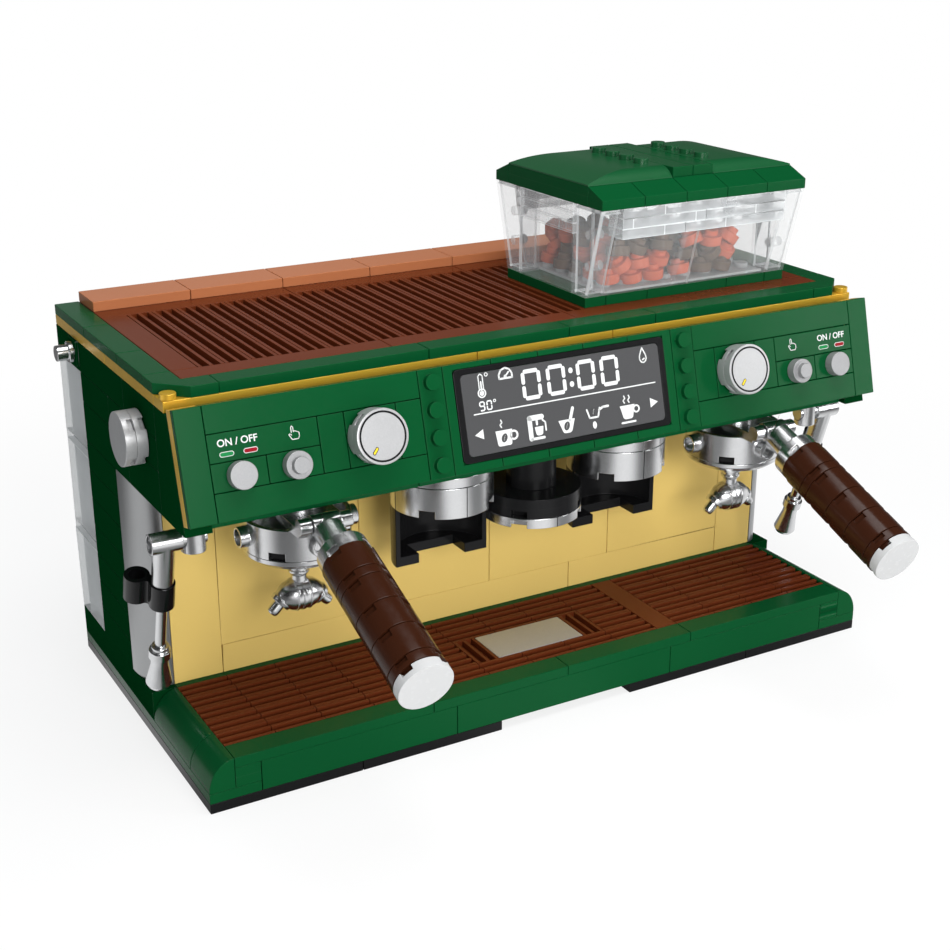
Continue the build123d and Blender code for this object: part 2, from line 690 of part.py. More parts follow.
def groups():
    """Both group heads, with the portafilters and handles that move on them."""
    mounts = []
    for x in (-group_x, group_x):
        z_collar = z_ring + ring_height + hub_height
        collar = rod((x, y_group, z_collar), (0, 0, 1), z_floor - z_collar, round_small)
        hole = rod((x, y_group, z_collar), (0, 0, 1), z_floor - z_collar, axle_diameter + 2 * running_gap)
        axle = rod((x, y_group, z_ring - plate), (0, 0, 1), z_floor + plate - z_ring + plate, axle_diameter)
        mounts += [collar - hole, axle]
    save("group_head_mounts", mounts)
    collar, grip, cap = handle()
    nodes = {
        "portafilter_ring": portafilter(),
        "portafilter_spout": spout(),
        "handle_hinge": collar,
        "handle_grip": grip,
        "handle_cap": cap,
    }
    for name, shapes in nodes.items():
        save("left_" + name, shapes)
        save("right_" + name, [mirror(shape, about=Plane.YZ) for shape in shapes])


def dosers():
    """The two dosing heads with their half round forks, and the tamper between them."""
    rings = []
    forks = []
    z_split = z_doser + brick
    for x in (-doser_x, doser_x):
        ring = notched_ring(x, z_doser, brick, round_large)
        inside = round_large - 2 * ring_wall
        ring -= rod((x, y_group, z_doser), (0, 0, 1), ring_recess, inside)
        rings += [ring, rod((x, y_group, z_split + seam), (0, 0, 1), z_floor - z_split - seam, round_large)]
        z_plate = z_fork + plate
        cup = rod((x, y_group, z_fork), (0, 0, 1), z_doser - z_fork, round_large)
        cup -= rod((x, y_group, z_plate), (0, 0, 1), z_doser - z_plate + overrun, inside)
        cup -= block(x - large_span, x + large_span, y_group - large_span, y_group, z_fork - overrun,
                     z_doser + overrun)
        cup -= block(x - fork_notch / 2, x + fork_notch / 2, y_group - overrun, y_group + fork_notch_depth,
                     z_fork - overrun, z_plate + overrun)
        forks.append(cup)
    rings.append(notched_ring(0, z_tamper, plate, round_large))
    save("doser_rings", rings)
    save("doser_forks", forks)
    z_flange = z_tamper + plate
    save("tamper_body", [
        notched_ring(0, z_flange, plate, round_large),
        rod((0, y_group, z_flange + plate), (0, 0, 1), plate, round_large),
        rod((0, y_group, z_doser), (0, 0, 1), z_floor - z_doser, round_small),
    ])


def wands():
    """The steam wands: fixed mounts, and tee, clip, rod and nozzle that swing about the tee."""
    hole = axle_diameter + 2 * running_gap
    half = wand_mount_diameter / 2
    mount = rod((-wand_mount_x, y_group, z_floor), (0, 0, -1), wand_mount_length, wand_mount_diameter)
    mount -= rod((-wand_mount_x - half - overrun, y_group, z_wand), (1, 0, 0), 2 * (half + overrun), hole)
    save("wand_mounts", mirrored([mount]))

    lean = radians(wand_lean)
    axis = Vector(0, sin(lean), -cos(lean))
    back = Vector(0, cos(lean), sin(lean))
    pivot = Vector(-x_side, y_group, z_wand)
    x_outer = x_side + tee_outer
    x_shoulder = wand_mount_x + half + moving_gap
    tee = rod((-x_outer, y_group, z_wand), (1, 0, 0), x_outer - x_shoulder, tee_diameter)
    tee += rod((-x_shoulder, y_group, z_wand), (1, 0, 0), x_shoulder - wand_mount_x + half, axle_diameter)
    tee -= rod((-x_outer, y_group, z_wand), (1, 0, 0), tee_hole_depth, axle_diameter)
    tee += rod(pivot, axis, leg_length, tee_diameter)
    tee += rod(pivot, axis, rod_end, bar_diameter)
    bore = bar_diameter + 2 * running_gap
    cone_start = nozzle_start + nozzle_lip_length + nozzle_ring_length + nozzle_neck_length
    cone_length = wand_length - nozzle_rim_length - cone_start
    steps = [
        (nozzle_lip_length, nozzle_lip_diameter, None),
        (nozzle_ring_length, nozzle_ring_diameter, None),
        (nozzle_neck_length, nozzle_neck_diameter, None),
        (cone_length, nozzle_neck_diameter, nozzle_diameter),
        (nozzle_rim_length, nozzle_diameter, nozzle_rim_diameter),
    ]
    along = nozzle_start
    stack = []
    for length, diameter, end_diameter in steps:
        stack.append(rod(pivot + axis * along, axis, length, diameter, end_diameter))
        along += length
    nozzle = stack[0] + stack[1:] - rod(pivot + axis * nozzle_start, axis, rod_end - nozzle_start, bore)

    clip_at = pivot + axis * (leg_length + seam)
    turn = radians(clip_turn)
    away = back * cos(turn) + Vector(-sin(turn), 0, 0)
    far_at = clip_at + away * clip_reach
    clip = rod(clip_at, axis, clip_length, clip_diameter)
    clip += rod(far_at, axis, clip_length, clip_diameter)
    web = Plane(origin=clip_at + away * (clip_reach / 2), x_dir=away.cross(axis), z_dir=axis)
    clip += web * Box(clip_web, clip_reach, clip_length, align=(Align.CENTER, Align.CENTER, Align.MIN))
    clip -= rod(clip_at, axis, clip_length, bore)
    clip -= rod(far_at, axis, clip_length, axle_diameter)
    for name, shapes in (("wand_pipe", [tee, nozzle]), ("wand_clip", [clip])):
        save("left_" + name, shapes)
        save("right_" + name, [mirror(shape, about=Plane.YZ) for shape in shapes])


def bean():
    """A round one-stud plate, centred on the middle of its height."""
    body = rod((0, 0, -bean_height / 2), (0, 0, 1), plate, piece_diameter)
    return body + rod((0, 0, plate - bean_height / 2), (0, 0, 1), stud_height, stud_diameter)


def bean_reach(tilt):
    """How far a tilted bean reaches below and above its middle."""
    low = bean_height / 2
    below = low * cos(tilt) + piece_diameter / 2 * sin(tilt)
    rim = (plate - low) * cos(tilt) + piece_diameter / 2 * sin(tilt)
    stud = low * cos(tilt) + stud_diameter / 2 * sin(tilt)
    return below, max(rim, stud)


def hopper():
    """The clear bean hopper with its beans and its lid."""
    z0 = z_deck + plate
    x0 = hopper_x
    x1 = x_hopper
    y0 = y_hopper
    y1 = y_hopper_back
    middle_x = (x0 + x1) / 2
    middle_y = (y0 + y1) / 2
    middle_plane = Plane(origin=(0, middle_y, 0), z_dir=(0, 1, 0))

    def both_ends(shapes):
        return shapes + [mirror(shape, about=middle_plane) for shape in shapes]

    seams = (x0 + pitch, x0 + base_seam, x1 - base_seam, x1 - pitch)
    bottom = both_ends([tile(a, b, y0, y0 + pitch, z_deck, z0) for a, b in spans(x0, x1, *seams)])
    bottom.append(tile(x0, x1, y0 + pitch, y1 - pitch, z_deck, z0))
    save("hopper_base", bottom)

    slope = [(y0 + pitch, z0), (y0, z0), (y0 - hopper_flare, z_lid), (y0 + pitch, z_lid)]
    corners = [prism_x(slope, x + seam, x + pitch - seam) for x in (x0, x1 - pitch)]
    save("hopper_corner_slopes", both_ends(corners))

    z_header = z_lid - header_height
    y_header = y0 - hopper_flare
    lean = hopper_flare * (z_header - z0) / hopper_height
    window = [(y0, z0), (y0 + panel_wall, z0), (y0 + panel_wall - lean, z_header), (y0 - lean, z_header)]
    clear = []
    for a, b in spans(x0 + pitch, x1 - pitch, middle_x):
        clear.append(prism_x(window, a + seam, b - seam))
    for row in range(header_rows):
        cut = middle_x + (row - 1) * pitch
        clear += [tile(a, b, y_header, y_header + pitch, z_header + row * plate, z_header + (row + 1) * plate)
                  for a, b in spans(x0 + pitch, x1 - pitch, cut)]
    clear = both_ends(clear)
    clear += [block(side, side + step, y0 + pitch + seam, y1 - pitch - seam, z0, z_lid)
              for side, step in ((x0, panel_wall), (x1, -panel_wall))]
    for top in (middle_x, x1 - pitch - panel_wall):
        foot = top - divider_lean
        wall = [(foot, z0), (foot + panel_wall, z0), (top + panel_wall, z_header), (top, z_header)]
        clear.append(prism_y(wall, y0 + panel_wall + seam, y1 - panel_wall - seam))
    save("hopper_panels", clear)

    piece = bean()
    x_divider = middle_x - divider_lean
    x_end = x1 - pitch - panel_wall - divider_lean
    colours = ([], [])
    count = 0
    for left, right in ((x0 + pitch, x_divider), (middle_x + panel_wall, x_end)):
        columns = int((right - left) / bean_cell)
        x_heap = (left + right - (columns - 1) * bean_cell) / 2
        for i in range(columns):
            for j in range(bean_rows):
                z = z0
                for k in range(bean_layers - i * j % 2):
                    count += 1
                    tilt = bean_tilt * sin(bean_turn * count) ** 2
                    below, above = bean_reach(radians(tilt))
                    x = x_heap + i * bean_cell
                    y = middle_y + (j - (bean_rows - 1) / 2) * bean_cell
                    place = Pos(x, y, z + below) * Rot(0, 0, bean_twist * count) * Rot(tilt, 0, 0)
                    colours[(i + j + k + count // 3) % 2].append(place * piece)
                    z += below + above
    save("orange_beans", colours[0])
    save("dark_beans", colours[1])

    z_rim = z_lid + plate
    z_slope = z_rim + plate
    z_top = z_slope + plate
    save("lid_plates", [tile(x0, x1, y0, y1, z_lid, z_rim), tile(x0, x1, y0, y1, z_rim, z_slope)])
    y_lip = y0 - hopper_flare
    lip = [(y0, z_lid), (y_lip, z_lid), (y_lip, z_rim), (y0, z_slope)]
    edges = [prism_x(lip, a + seam, b - seam) for a, b in courses(x0, x1, lid_tile)]
    save("lid_slopes", both_ends(edges))

    x_flat = middle_x - lid_flat
    x_ridge = middle_x - ridge_width - seam
    x_lip = x0 + seam
    y_near = y0 + seam
    y_far = y1 - seam
    z_lip = z_slope + dome_lip
    across = make_face([
        Polyline((x_flat, z_top), (x_ridge, z_top), (x_ridge, z_slope), (x_lip, z_slope), (x_lip, z_lip)),
        EllipticalCenterArc((x_flat, z_lip), x_flat - x_lip, z_top - z_lip, 90, arc_size=90),
    ])
    along = make_face([
        Polyline((y_near, z_lip), (y_near, z_slope), (y_far, z_slope), (y_far, z_lip)),
        Polyline((y0 + pitch, z_top), (y1 - pitch, z_top)),
        EllipticalCenterArc((y0 + pitch, z_lip), pitch - seam, z_top - z_lip, 90, arc_size=90),
        EllipticalCenterArc((y1 - pitch, z_lip), pitch - seam, z_top - z_lip, 0, arc_size=90),
    ])
    front_on = Plane(origin=(0, y1, 0), x_dir=(1, 0, 0), z_dir=(0, -1, 0))
    side_on = Plane(origin=(x0, 0, 0), x_dir=(0, 1, 0), z_dir=(1, 0, 0))
    dome = extrude(front_on * across, y1 - y0, dir=(0, -1, 0))
    dome &= extrude(side_on * along, x1 - x0, dir=(1, 0, 0))
    for j in range(lid_studs):
        y = middle_y + (j - (lid_studs - 1) / 2) * pitch
        dome += rod((middle_x - ridge_width - pitch / 2, y, z_top), (0, 0, 1), stud_height, stud_diameter)
    centre = Plane(origin=(middle_x, 0, 0), z_dir=(1, 0, 0))
    save("lid_domes", [dome, mirror(dome, about=centre)])
    save("lid_ridge_tiles", [tile(a, b, y0, y1, z_slope, z_top)
                             for a, b in spans(middle_x - ridge_width, middle_x + ridge_width, middle_x)])


def main():
    os.makedirs("parts", exist_ok=True)
    base()
    tray()
    lower_body()
    upper_body()
    control_panel()
    groups()
    dosers()
    wands()
    hopper()


main()
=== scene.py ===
# %% [markdown]
# A building block coffee machine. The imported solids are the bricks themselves, in their true places. This
# lesson gives them eased edges and moulded finishes, and models the small pieces that carry the machine's
# character: the notched round bricks of the knobs and handles, the double spouts, the wands' clips, the
# printed panel and the display, the clear hopper with its beans, and the vaults of its lid.

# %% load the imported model
import json
import math
import random
from contextlib import contextmanager

import bmesh
import bpy
from mathutils import Matrix, Vector


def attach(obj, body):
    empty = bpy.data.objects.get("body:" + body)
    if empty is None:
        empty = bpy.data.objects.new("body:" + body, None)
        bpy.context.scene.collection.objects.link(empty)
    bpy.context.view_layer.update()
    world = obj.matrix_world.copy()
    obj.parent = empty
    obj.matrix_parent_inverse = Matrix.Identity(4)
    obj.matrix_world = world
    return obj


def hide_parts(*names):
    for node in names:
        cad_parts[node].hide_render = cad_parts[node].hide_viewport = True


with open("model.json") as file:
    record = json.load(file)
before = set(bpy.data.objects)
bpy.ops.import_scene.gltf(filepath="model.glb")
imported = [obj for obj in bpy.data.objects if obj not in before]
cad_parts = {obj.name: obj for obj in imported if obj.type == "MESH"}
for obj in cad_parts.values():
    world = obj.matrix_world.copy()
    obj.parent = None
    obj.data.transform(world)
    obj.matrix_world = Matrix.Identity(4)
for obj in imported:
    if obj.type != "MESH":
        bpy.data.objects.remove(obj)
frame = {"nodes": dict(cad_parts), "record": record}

mm = 0.001
scene = bpy.context.scene
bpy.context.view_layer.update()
nodes = frame["nodes"]
slots = {part["node"]: part["material_slot"] for part in frame["record"]["subparts"]}

# %% [markdown]
# The camera comes first, because every later choice is judged through it. The studs and plates of the
# bricks are known lengths, so their corners in the photograph give the viewing angle, the distance and the
# focal length. The camera stands in front on the left and looks a little down.

# %% camera
image_width = 950
focal_pixels = 1550.5
azimuth = math.radians(-29.565)
elevation = math.radians(20.871)
target = Vector((1.64, 2.72, 59.5)) * mm
distance = 525.3 * mm
camera_data = bpy.data.cameras.new("photo_camera")
camera_data.sensor_width = 36
camera_data.lens = focal_pixels / image_width * camera_data.sensor_width
camera_data.clip_start = 0.01
camera_data.clip_end = 20
camera = bpy.data.objects.new("photo_camera", camera_data)
scene.collection.objects.link(camera)
back = Vector((
    math.sin(azimuth) * math.cos(elevation), -math.cos(azimuth) * math.cos(elevation), math.sin(elevation)))
camera.location = target + back * distance
camera.rotation_mode = "QUATERNION"
camera.rotation_quaternion = (-back).to_track_quat("-Z", "Y")
scene.camera = camera
print("lens", round(camera_data.lens, 2), "camera at", [round(v / mm, 1) for v in camera.location])

# %% [markdown]
# The light is a plain product studio: a broad lamp above, a main lamp in front on the left, and a tall
# narrow lamp on the right that draws long highlights on the round silver pieces. The camera sees plain
# white everywhere. What mirrors see is the same white room, but with a dim ceiling and four dim corners,
# because a mirror in an evenly white room has nothing to show. What the world sheds on the bricks is
# softer, so the colours come out as they are written.

# %% world and lamps
scene.view_settings.view_transform = "Standard"
world = bpy.data.worlds.new("white_room")
scene.world = world
world.use_nodes = True
room = world.node_tree
room.nodes.clear()


def combined(tree, operation, first, second):
    """One value made of two sockets."""
    node = tree.nodes.new("ShaderNodeMath")
    node.operation = operation
    tree.links.new(first, node.inputs[0])
    tree.links.new(second, node.inputs[1])
    return node.outputs[0]


def either(tree, first, second):
    """A socket that is as large as the larger of two."""
    return combined(tree, "MAXIMUM", first, second)


def times(tree, first, second):
    """The product of two sockets."""
    return combined(tree, "MULTIPLY", first, second)


def ranged(tree, socket, start, end, low, high, ease="LINEAR"):
    """A value that runs from low to high while a socket runs from start to end."""
    node = tree.nodes.new("ShaderNodeMapRange")
    node.interpolation_type = ease
    for key, value in (("From Min", start), ("From Max", end), ("To Min", low), ("To Max", high)):
        node.inputs[key].default_value = value
    tree.links.new(socket, node.inputs["Value"])
    return node.outputs["Result"]


def eased_range(tree, socket, start, end, low, high):
    """The same, with a smooth start and end."""
    return ranged(tree, socket, start, end, low, high, "SMOOTHSTEP")


def rays(tree, kind):
    """One for light rays of a kind."""
    return tree.nodes.new("ShaderNodeLightPath").outputs[kind]


def seen_directly(tree):
    """One for camera, mirror and glass rays."""
    both = either(tree, rays(tree, "Is Camera Ray"), rays(tree, "Is Glossy Ray"))
    return either(tree, both, rays(tree, "Is Transmission Ray"))


def room_corners(tree, axes):
    """How bright the room is round the compass: four bright walls with dim corners between them."""
    wall_count, first_wall, corner_light = 4, math.radians(110), 0.1
    heading = combined(tree, "ARCTAN2", axes["Y"], axes["X"])
    turns = tree.nodes.new("ShaderNodeMath")
    turns.operation = "MULTIPLY_ADD"
    turns.inputs[1].default_value = wall_count
    turns.inputs[2].default_value = first_wall
    wave = tree.nodes.new("ShaderNodeMath")
    wave.operation = "SINE"
    tree.links.new(heading, turns.inputs[0])
    tree.links.new(turns.outputs[0], wave.inputs[0])
    return eased_range(tree, wave.outputs[0], -0.9, 0.9, corner_light, 1.0)


shed = room.nodes.new("ShaderNodeBackground")
shed.inputs["Color"].default_value = (0.93, 0.97, 1.0, 1)
shed.inputs["Strength"].default_value = 0.45
white = room.nodes.new("ShaderNodeBackground")
white.inputs["Color"].default_value = (1, 1, 1, 1)
ways = room.nodes.new("ShaderNodeTexCoord").outputs["Generated"]
axes = room.nodes.new("ShaderNodeSeparateXYZ")
choice = room.nodes.new("ShaderNodeMixShader")
out = room.nodes.new("ShaderNodeOutputWorld")
room.links.new(ways, axes.inputs["Vector"])
ceiling_light = 0.14
ceiling = eased_range(room, axes.outputs["Z"], 0.05, 0.32, 1.0, ceiling_light)
mirrored_room = times(room, ceiling, room_corners(room, axes.outputs))
room.links.new(either(room, mirrored_room, rays(room, "Is Camera Ray")), white.inputs["Strength"])
room.links.new(seen_directly(room), choice.inputs["Fac"])
room.links.new(shed.outputs[0], choice.inputs[1])
room.links.new(white.outputs[0], choice.inputs[2])
room.links.new(choice.outputs[0], out.inputs["Surface"])


def lamp(name, place, aim, size, power):
    """A rectangular soft lamp at a place, facing a point, in millimetres."""
    data = bpy.data.lights.new(name, "AREA")
    data.shape = "RECTANGLE"
    data.size, data.size_y = size[0] * mm, size[1] * mm
    data.energy = power
    lamp_object = bpy.data.objects.new(name, data)
    scene.collection.objects.link(lamp_object)
    lamp_object.location = Vector(place) * mm
    way = Vector(aim) - Vector(place)
    lamp_object.rotation_euler = way.to_track_quat("-Z", "Y").to_euler()


machine_middle = (0, 0, 60)
lamp("lamp_above", (20, -140, 620), machine_middle, (420, 320), 2.4)
lamp("lamp_main", (-80, -620, 250), machine_middle, (260, 220), 2.3)
lamp("lamp_right", (430, -420, 240), machine_middle, (90, 340), 0.7)
print("lamps", [light.name for light in bpy.data.lights])

# %% [markdown]
# The floor is one pale sheet. Where the camera looks at it, most of its brightness is plain white, so it
# runs into the white room without an edge, and near the machine the rest is lit, so it stands in its own
# soft shadow. Mirrors see it dim where the corners of the room are dim.

# %% floor
bpy.ops.object.select_all(action="DESELECT")
bpy.ops.mesh.primitive_plane_add(size=6, location=(0, 0, 0))
floor = bpy.context.object
floor.name = "floor"
pale = bpy.data.materials.new("pale_floor")
pale.use_nodes = True
tree = pale.node_tree
surface = tree.nodes["Principled BSDF"]
surface.inputs["Base Color"].default_value = (0.9, 0.9, 0.9, 1)
surface.inputs["Roughness"].default_value = 0.9
glow = tree.nodes.new("ShaderNodeEmission")
place = tree.nodes.new("ShaderNodeTexCoord")
away = tree.nodes.new("ShaderNodeVectorMath")
away.operation = "LENGTH"
axes = tree.nodes.new("ShaderNodeSeparateXYZ")
blend = tree.nodes.new("ShaderNodeMixShader")
tree.links.new(place.outputs["Object"], away.inputs[0])
tree.links.new(place.outputs["Object"], axes.inputs["Vector"])
floor_light = either(tree, room_corners(tree, axes.outputs), rays(tree, "Is Camera Ray"))
tree.links.new(floor_light, glow.inputs["Strength"])
white_share = eased_range(tree, away.outputs["Value"], 0.12, 0.4, 0.8, 1.0)
tree.links.new(times(tree, white_share, seen_directly(tree)), blend.inputs["Fac"])
tree.links.new(surface.outputs[0], blend.inputs[1])
tree.links.new(glow.outputs[0], blend.inputs[2])
tree.links.new(blend.outputs[0], tree.nodes["Material Output"].inputs["Surface"])
floor.data.materials.append(pale)
print("floor", floor.name)

# %% [markdown]
# The bricks are gloss moulded plastic. One recipe serves them all, with a colour of its own for each: a
# broad, faint drift of tone as the pigment flows in the mould, a slightly uneven gloss, a skin that ripples
# by a few microns, and paler edges, partly wear and partly a painted highlight along them. The patterns sit
# on object coordinates in metres, so their sizes are real sizes.

# %% moulded plastic
finishes = {}


def new_finish(name):
    """List a new material among the finishes; gives its node tree, its shader and its number."""
    number = len(finishes)
    material = bpy.data.materials.new(name)
    material.use_nodes = True
    finishes[name] = material
    return material.node_tree, material.node_tree.nodes["Principled BSDF"], number


def pattern(tree, scale, detail, offset=(0, 0, 0)):
    """A noise pattern on object coordinates; scale is in waves per metre."""
    place = tree.nodes.new("ShaderNodeTexCoord")
    shift = tree.nodes.new("ShaderNodeMapping")
    shift.inputs["Location"].default_value = offset
    noise = tree.nodes.new("ShaderNodeTexNoise")
    noise.inputs["Scale"].default_value = scale
    noise.inputs["Detail"].default_value = detail
    tree.links.new(place.outputs["Object"], shift.inputs["Vector"])
    tree.links.new(shift.outputs["Vector"], noise.inputs["Vector"])
    return noise.outputs["Fac"]


pattern_low, pattern_high = 0.3, 0.7


def spread(tree, socket, low, high):
    """A pattern's middle range, stretched between two values."""
    return ranged(tree, socket, pattern_low, pattern_high, low, high)


def tones(tree, socket, dark, light):
    """A pattern as a drift between two colours."""
    node = tree.nodes.new("ShaderNodeValToRGB")
    for i, place, colour in ((0, pattern_low, dark), (1, pattern_high, light)):
        node.color_ramp.elements[i].position = place
        node.color_ramp.elements[i].color = (*colour, 1)
    tree.links.new(socket, node.inputs["Fac"])
    return node.outputs["Color"]


def inner_room(tree, reach):
    """How free a solid is under its skin, within a reach: one on flat walls, less along outer edges."""
    inside = tree.nodes.new("ShaderNodeAmbientOcclusion")
    inside.inside = True
    inside.only_local = True
    inside.samples = 4
    inside.inputs["Distance"].default_value = reach
    return inside.outputs["AO"]


def worn_and_highlit_edges(tree, colour, edge_wear_and_highlight, reach, amount):
    """A colour that turns paler along outer edges: partly wear, partly a painted highlight."""
    mix = tree.nodes.new("ShaderNodeMix")
    mix.data_type = "RGBA"
    tree.links.new(ranged(tree, inner_room(tree, reach), 0.75, 0.2, 0, amount), mix.inputs["Factor"])
    tree.links.new(colour, mix.inputs["A"])
    mix.inputs["B"].default_value = (*edge_wear_and_highlight, 1)
    return mix.outputs["Result"]


def ripple(tree, scale, depth, offset=(0, 0, 0)):
    """A bump of a given depth in metres."""
    bump = tree.nodes.new("ShaderNodeBump")
    bump.inputs["Strength"].default_value = 0.5
    bump.inputs["Distance"].default_value = depth
    tree.links.new(pattern(tree, scale, 3, offset), bump.inputs["Height"])
    return bump.outputs["Normal"]


def around(colour, share):
    """A darker and a lighter tone of a colour."""
    return [c * (1 - share) for c in colour], [min(1, c * (1 + share)) for c in colour]


def moulded(name, colour, drift=0.04, gloss=(0.2, 0.27), skin=0.00001, edge_wear_and_highlight=0.2, shine=0.06):
    """Gloss moulded plastic in one colour."""
    flow_waves, gloss_waves, skin_waves, edge_reach = 14, 600, 160, 0.4 * mm
    tree, shader, number = new_finish(name)
    shift = (number * 0.13, 0, 0)
    dark, light = around(colour, drift)
    # Paler edges: partly wear, partly a painted highlight.
    worn_and_highlit = [c + (1 - c) * edge_wear_and_highlight * 0.35 for c in light]
    body = tones(tree, pattern(tree, flow_waves, 3, shift), dark, light)
    tree.links.new(worn_and_highlit_edges(tree, body, worn_and_highlit, edge_reach, edge_wear_and_highlight), shader.inputs["Base Color"])
    tree.links.new(spread(tree, pattern(tree, gloss_waves, 4, shift), *gloss), shader.inputs["Roughness"])
    tree.links.new(ripple(tree, skin_waves, skin, shift), shader.inputs["Normal"])
    shader.inputs["IOR"].default_value = 1.53
    shader.inputs["Specular IOR Level"].default_value = shine


moulded("dark_green", (0.002, 0.066, 0.018))
# A darker copy of the dark green for the side and rear walls is painted shade. Its strong pale edges are
# painted highlights along the seams.
moulded("shaded_side_green", (0.001, 0.034, 0.008), gloss=(0.35, 0.45), edge_wear_and_highlight=0.7, shine=0.0)
# A lighter, glossier copy of the dark green for the lid's top is painted light.
moulded("lit_lid_green", (0.004, 0.075, 0.022), gloss=(0.3, 0.315), shine=0.35)
moulded("reddish_brown", (0.125, 0.026, 0.008))
moulded("nougat", (0.44, 0.155, 0.065))
moulded("tan", (0.76, 0.54, 0.16), drift=0.02, gloss=(0.22, 0.28))
moulded("black", (0.009, 0.009, 0.0095), gloss=(0.16, 0.24), edge_wear_and_highlight=0.12, shine=0.12)
moulded("rubber", (0.004, 0.004, 0.0045), gloss=(0.1, 0.16), edge_wear_and_highlight=0.0, shine=0.35)
moulded("dark_brown", (0.033, 0.0095, 0.004), gloss=(0.15, 0.24), edge_wear_and_highlight=0.1, shine=0.14)
moulded("white", (0.5, 0.5, 0.5), drift=0.03, gloss=(0.2, 0.3))
moulded("screen_grey", (0.065, 0.065, 0.067), drift=0.02, gloss=(0.28, 0.32), edge_wear_and_highlight=0.0, shine=0.08)
moulded("orange", (0.55, 0.12, 0.06))
moulded("bean_grey", (0.13, 0.085, 0.06))
print("plastics", sorted(finishes))

# %% [markdown]
# The silver and gold pieces are plastic with a metal coat. A coat of this kind is a mirror broken up by
# fine flakes, so the recipe is metal with a fine grain in its tone and roughness. The knobs and buttons
# have a duller coat than the rings, spouts and wands, which are polished. The buttons and the corner posts
# get darker copies of the coat, which are painted shade, and the coat's edges are paler, a painted
# highlight.

# %% metal coats


def coated(name, colour, gloss, grain=0.08, metal=1.0, skin=0.00001):
    """A metal coat with fine flakes."""
    flake_waves, gloss_waves, skin_waves, edge_reach, edge_shine = 2600, 500, 200, 0.3 * mm, 0.5
    tree, shader, number = new_finish(name)
    shift = (0, number * 0.17, 0)
    dark, light = around(colour, grain)
    flakes = tones(tree, pattern(tree, flake_waves, 2, shift), dark, light)
    # The coat's paler edges are a painted highlight.
    tree.links.new(worn_and_highlit_edges(tree, flakes, light, edge_reach, edge_shine), shader.inputs["Base Color"])
    tree.links.new(spread(tree, pattern(tree, gloss_waves, 4, shift), *gloss), shader.inputs["Roughness"])
    tree.links.new(ripple(tree, skin_waves, skin, shift), shader.inputs["Normal"])
    shader.inputs["Metallic"].default_value = metal


coated("silver", (0.68, 0.685, 0.695), (0.2, 0.27), grain=0.03)
coated("dull_silver", (0.43, 0.43, 0.435), (0.34, 0.42), grain=0.04, metal=0.4)
# Darker copies of the coat go on the buttons, which face the main lamp, and on the corner posts, which
# mirror the white room. Both are painted shade.
coated("shaded_button_silver", (0.29, 0.29, 0.295), (0.36, 0.44), grain=0.04, metal=0.3)
coated("shaded_post_silver", (0.34, 0.345, 0.35), (0.3, 0.315), grain=0.02, metal=0.85)
coated("gold", (0.7, 0.42, 0.04), (0.29, 0.305), grain=0.02, metal=0.45)
print("coats", [name for name in finishes if "silver" in name or name == "gold"])

# %% [markdown]
# The hopper and the tank are clear bricks with thin walls. Such a wall hardly bends what is behind it. It
# is nearly invisible face on, turns milky at a slant, and its edges gather light and shine white. So the
# recipe sets how much it covers by the slant and by the distance to an edge. Lamplight passes through it
# almost whole, or the things inside would stand in the dark. The hopper's head is three rows of clear
# plates with studs and tubes in them, so it looks milky, with pale lines where the plates meet. A brick
# pattern on the height and the way round gives those lines.

# %% clear plastic


def plate_rows(tree, foot, length, height, line, milky):
    """How much rows of clear plates cover above a height: milky plates with whole lines between them."""
    line_cover, fade = 0.65, 0.1 * mm
    place = tree.nodes.new("ShaderNodeTexCoord")
    axes = tree.nodes.new("ShaderNodeSeparateXYZ")
    around = tree.nodes.new("ShaderNodeMath")
    flat = tree.nodes.new("ShaderNodeCombineXYZ")
    lift = tree.nodes.new("ShaderNodeMath")
    lift.operation = "SUBTRACT"
    lift.inputs[1].default_value = foot
    rows = tree.nodes.new("ShaderNodeTexBrick")
    rows.inputs["Scale"].default_value = 1
    rows.inputs["Brick Width"].default_value = length
    rows.inputs["Row Height"].default_value = height
    rows.inputs["Mortar Size"].default_value = line
    tree.links.new(place.outputs["Object"], axes.inputs["Vector"])
    tree.links.new(axes.outputs["X"], around.inputs[0])
    tree.links.new(axes.outputs["Y"], around.inputs[1])
    tree.links.new(axes.outputs["Z"], lift.inputs[0])
    tree.links.new(around.outputs[0], flat.inputs["X"])
    tree.links.new(lift.outputs[0], flat.inputs["Y"])
    tree.links.new(flat.outputs["Vector"], rows.inputs["Vector"])
    above = eased_range(tree, axes.outputs["Z"], foot - fade, foot, 0, 1)
    return times(tree, above, eased_range(tree, rows.outputs["Fac"], 0, 1, milky, line_cover))


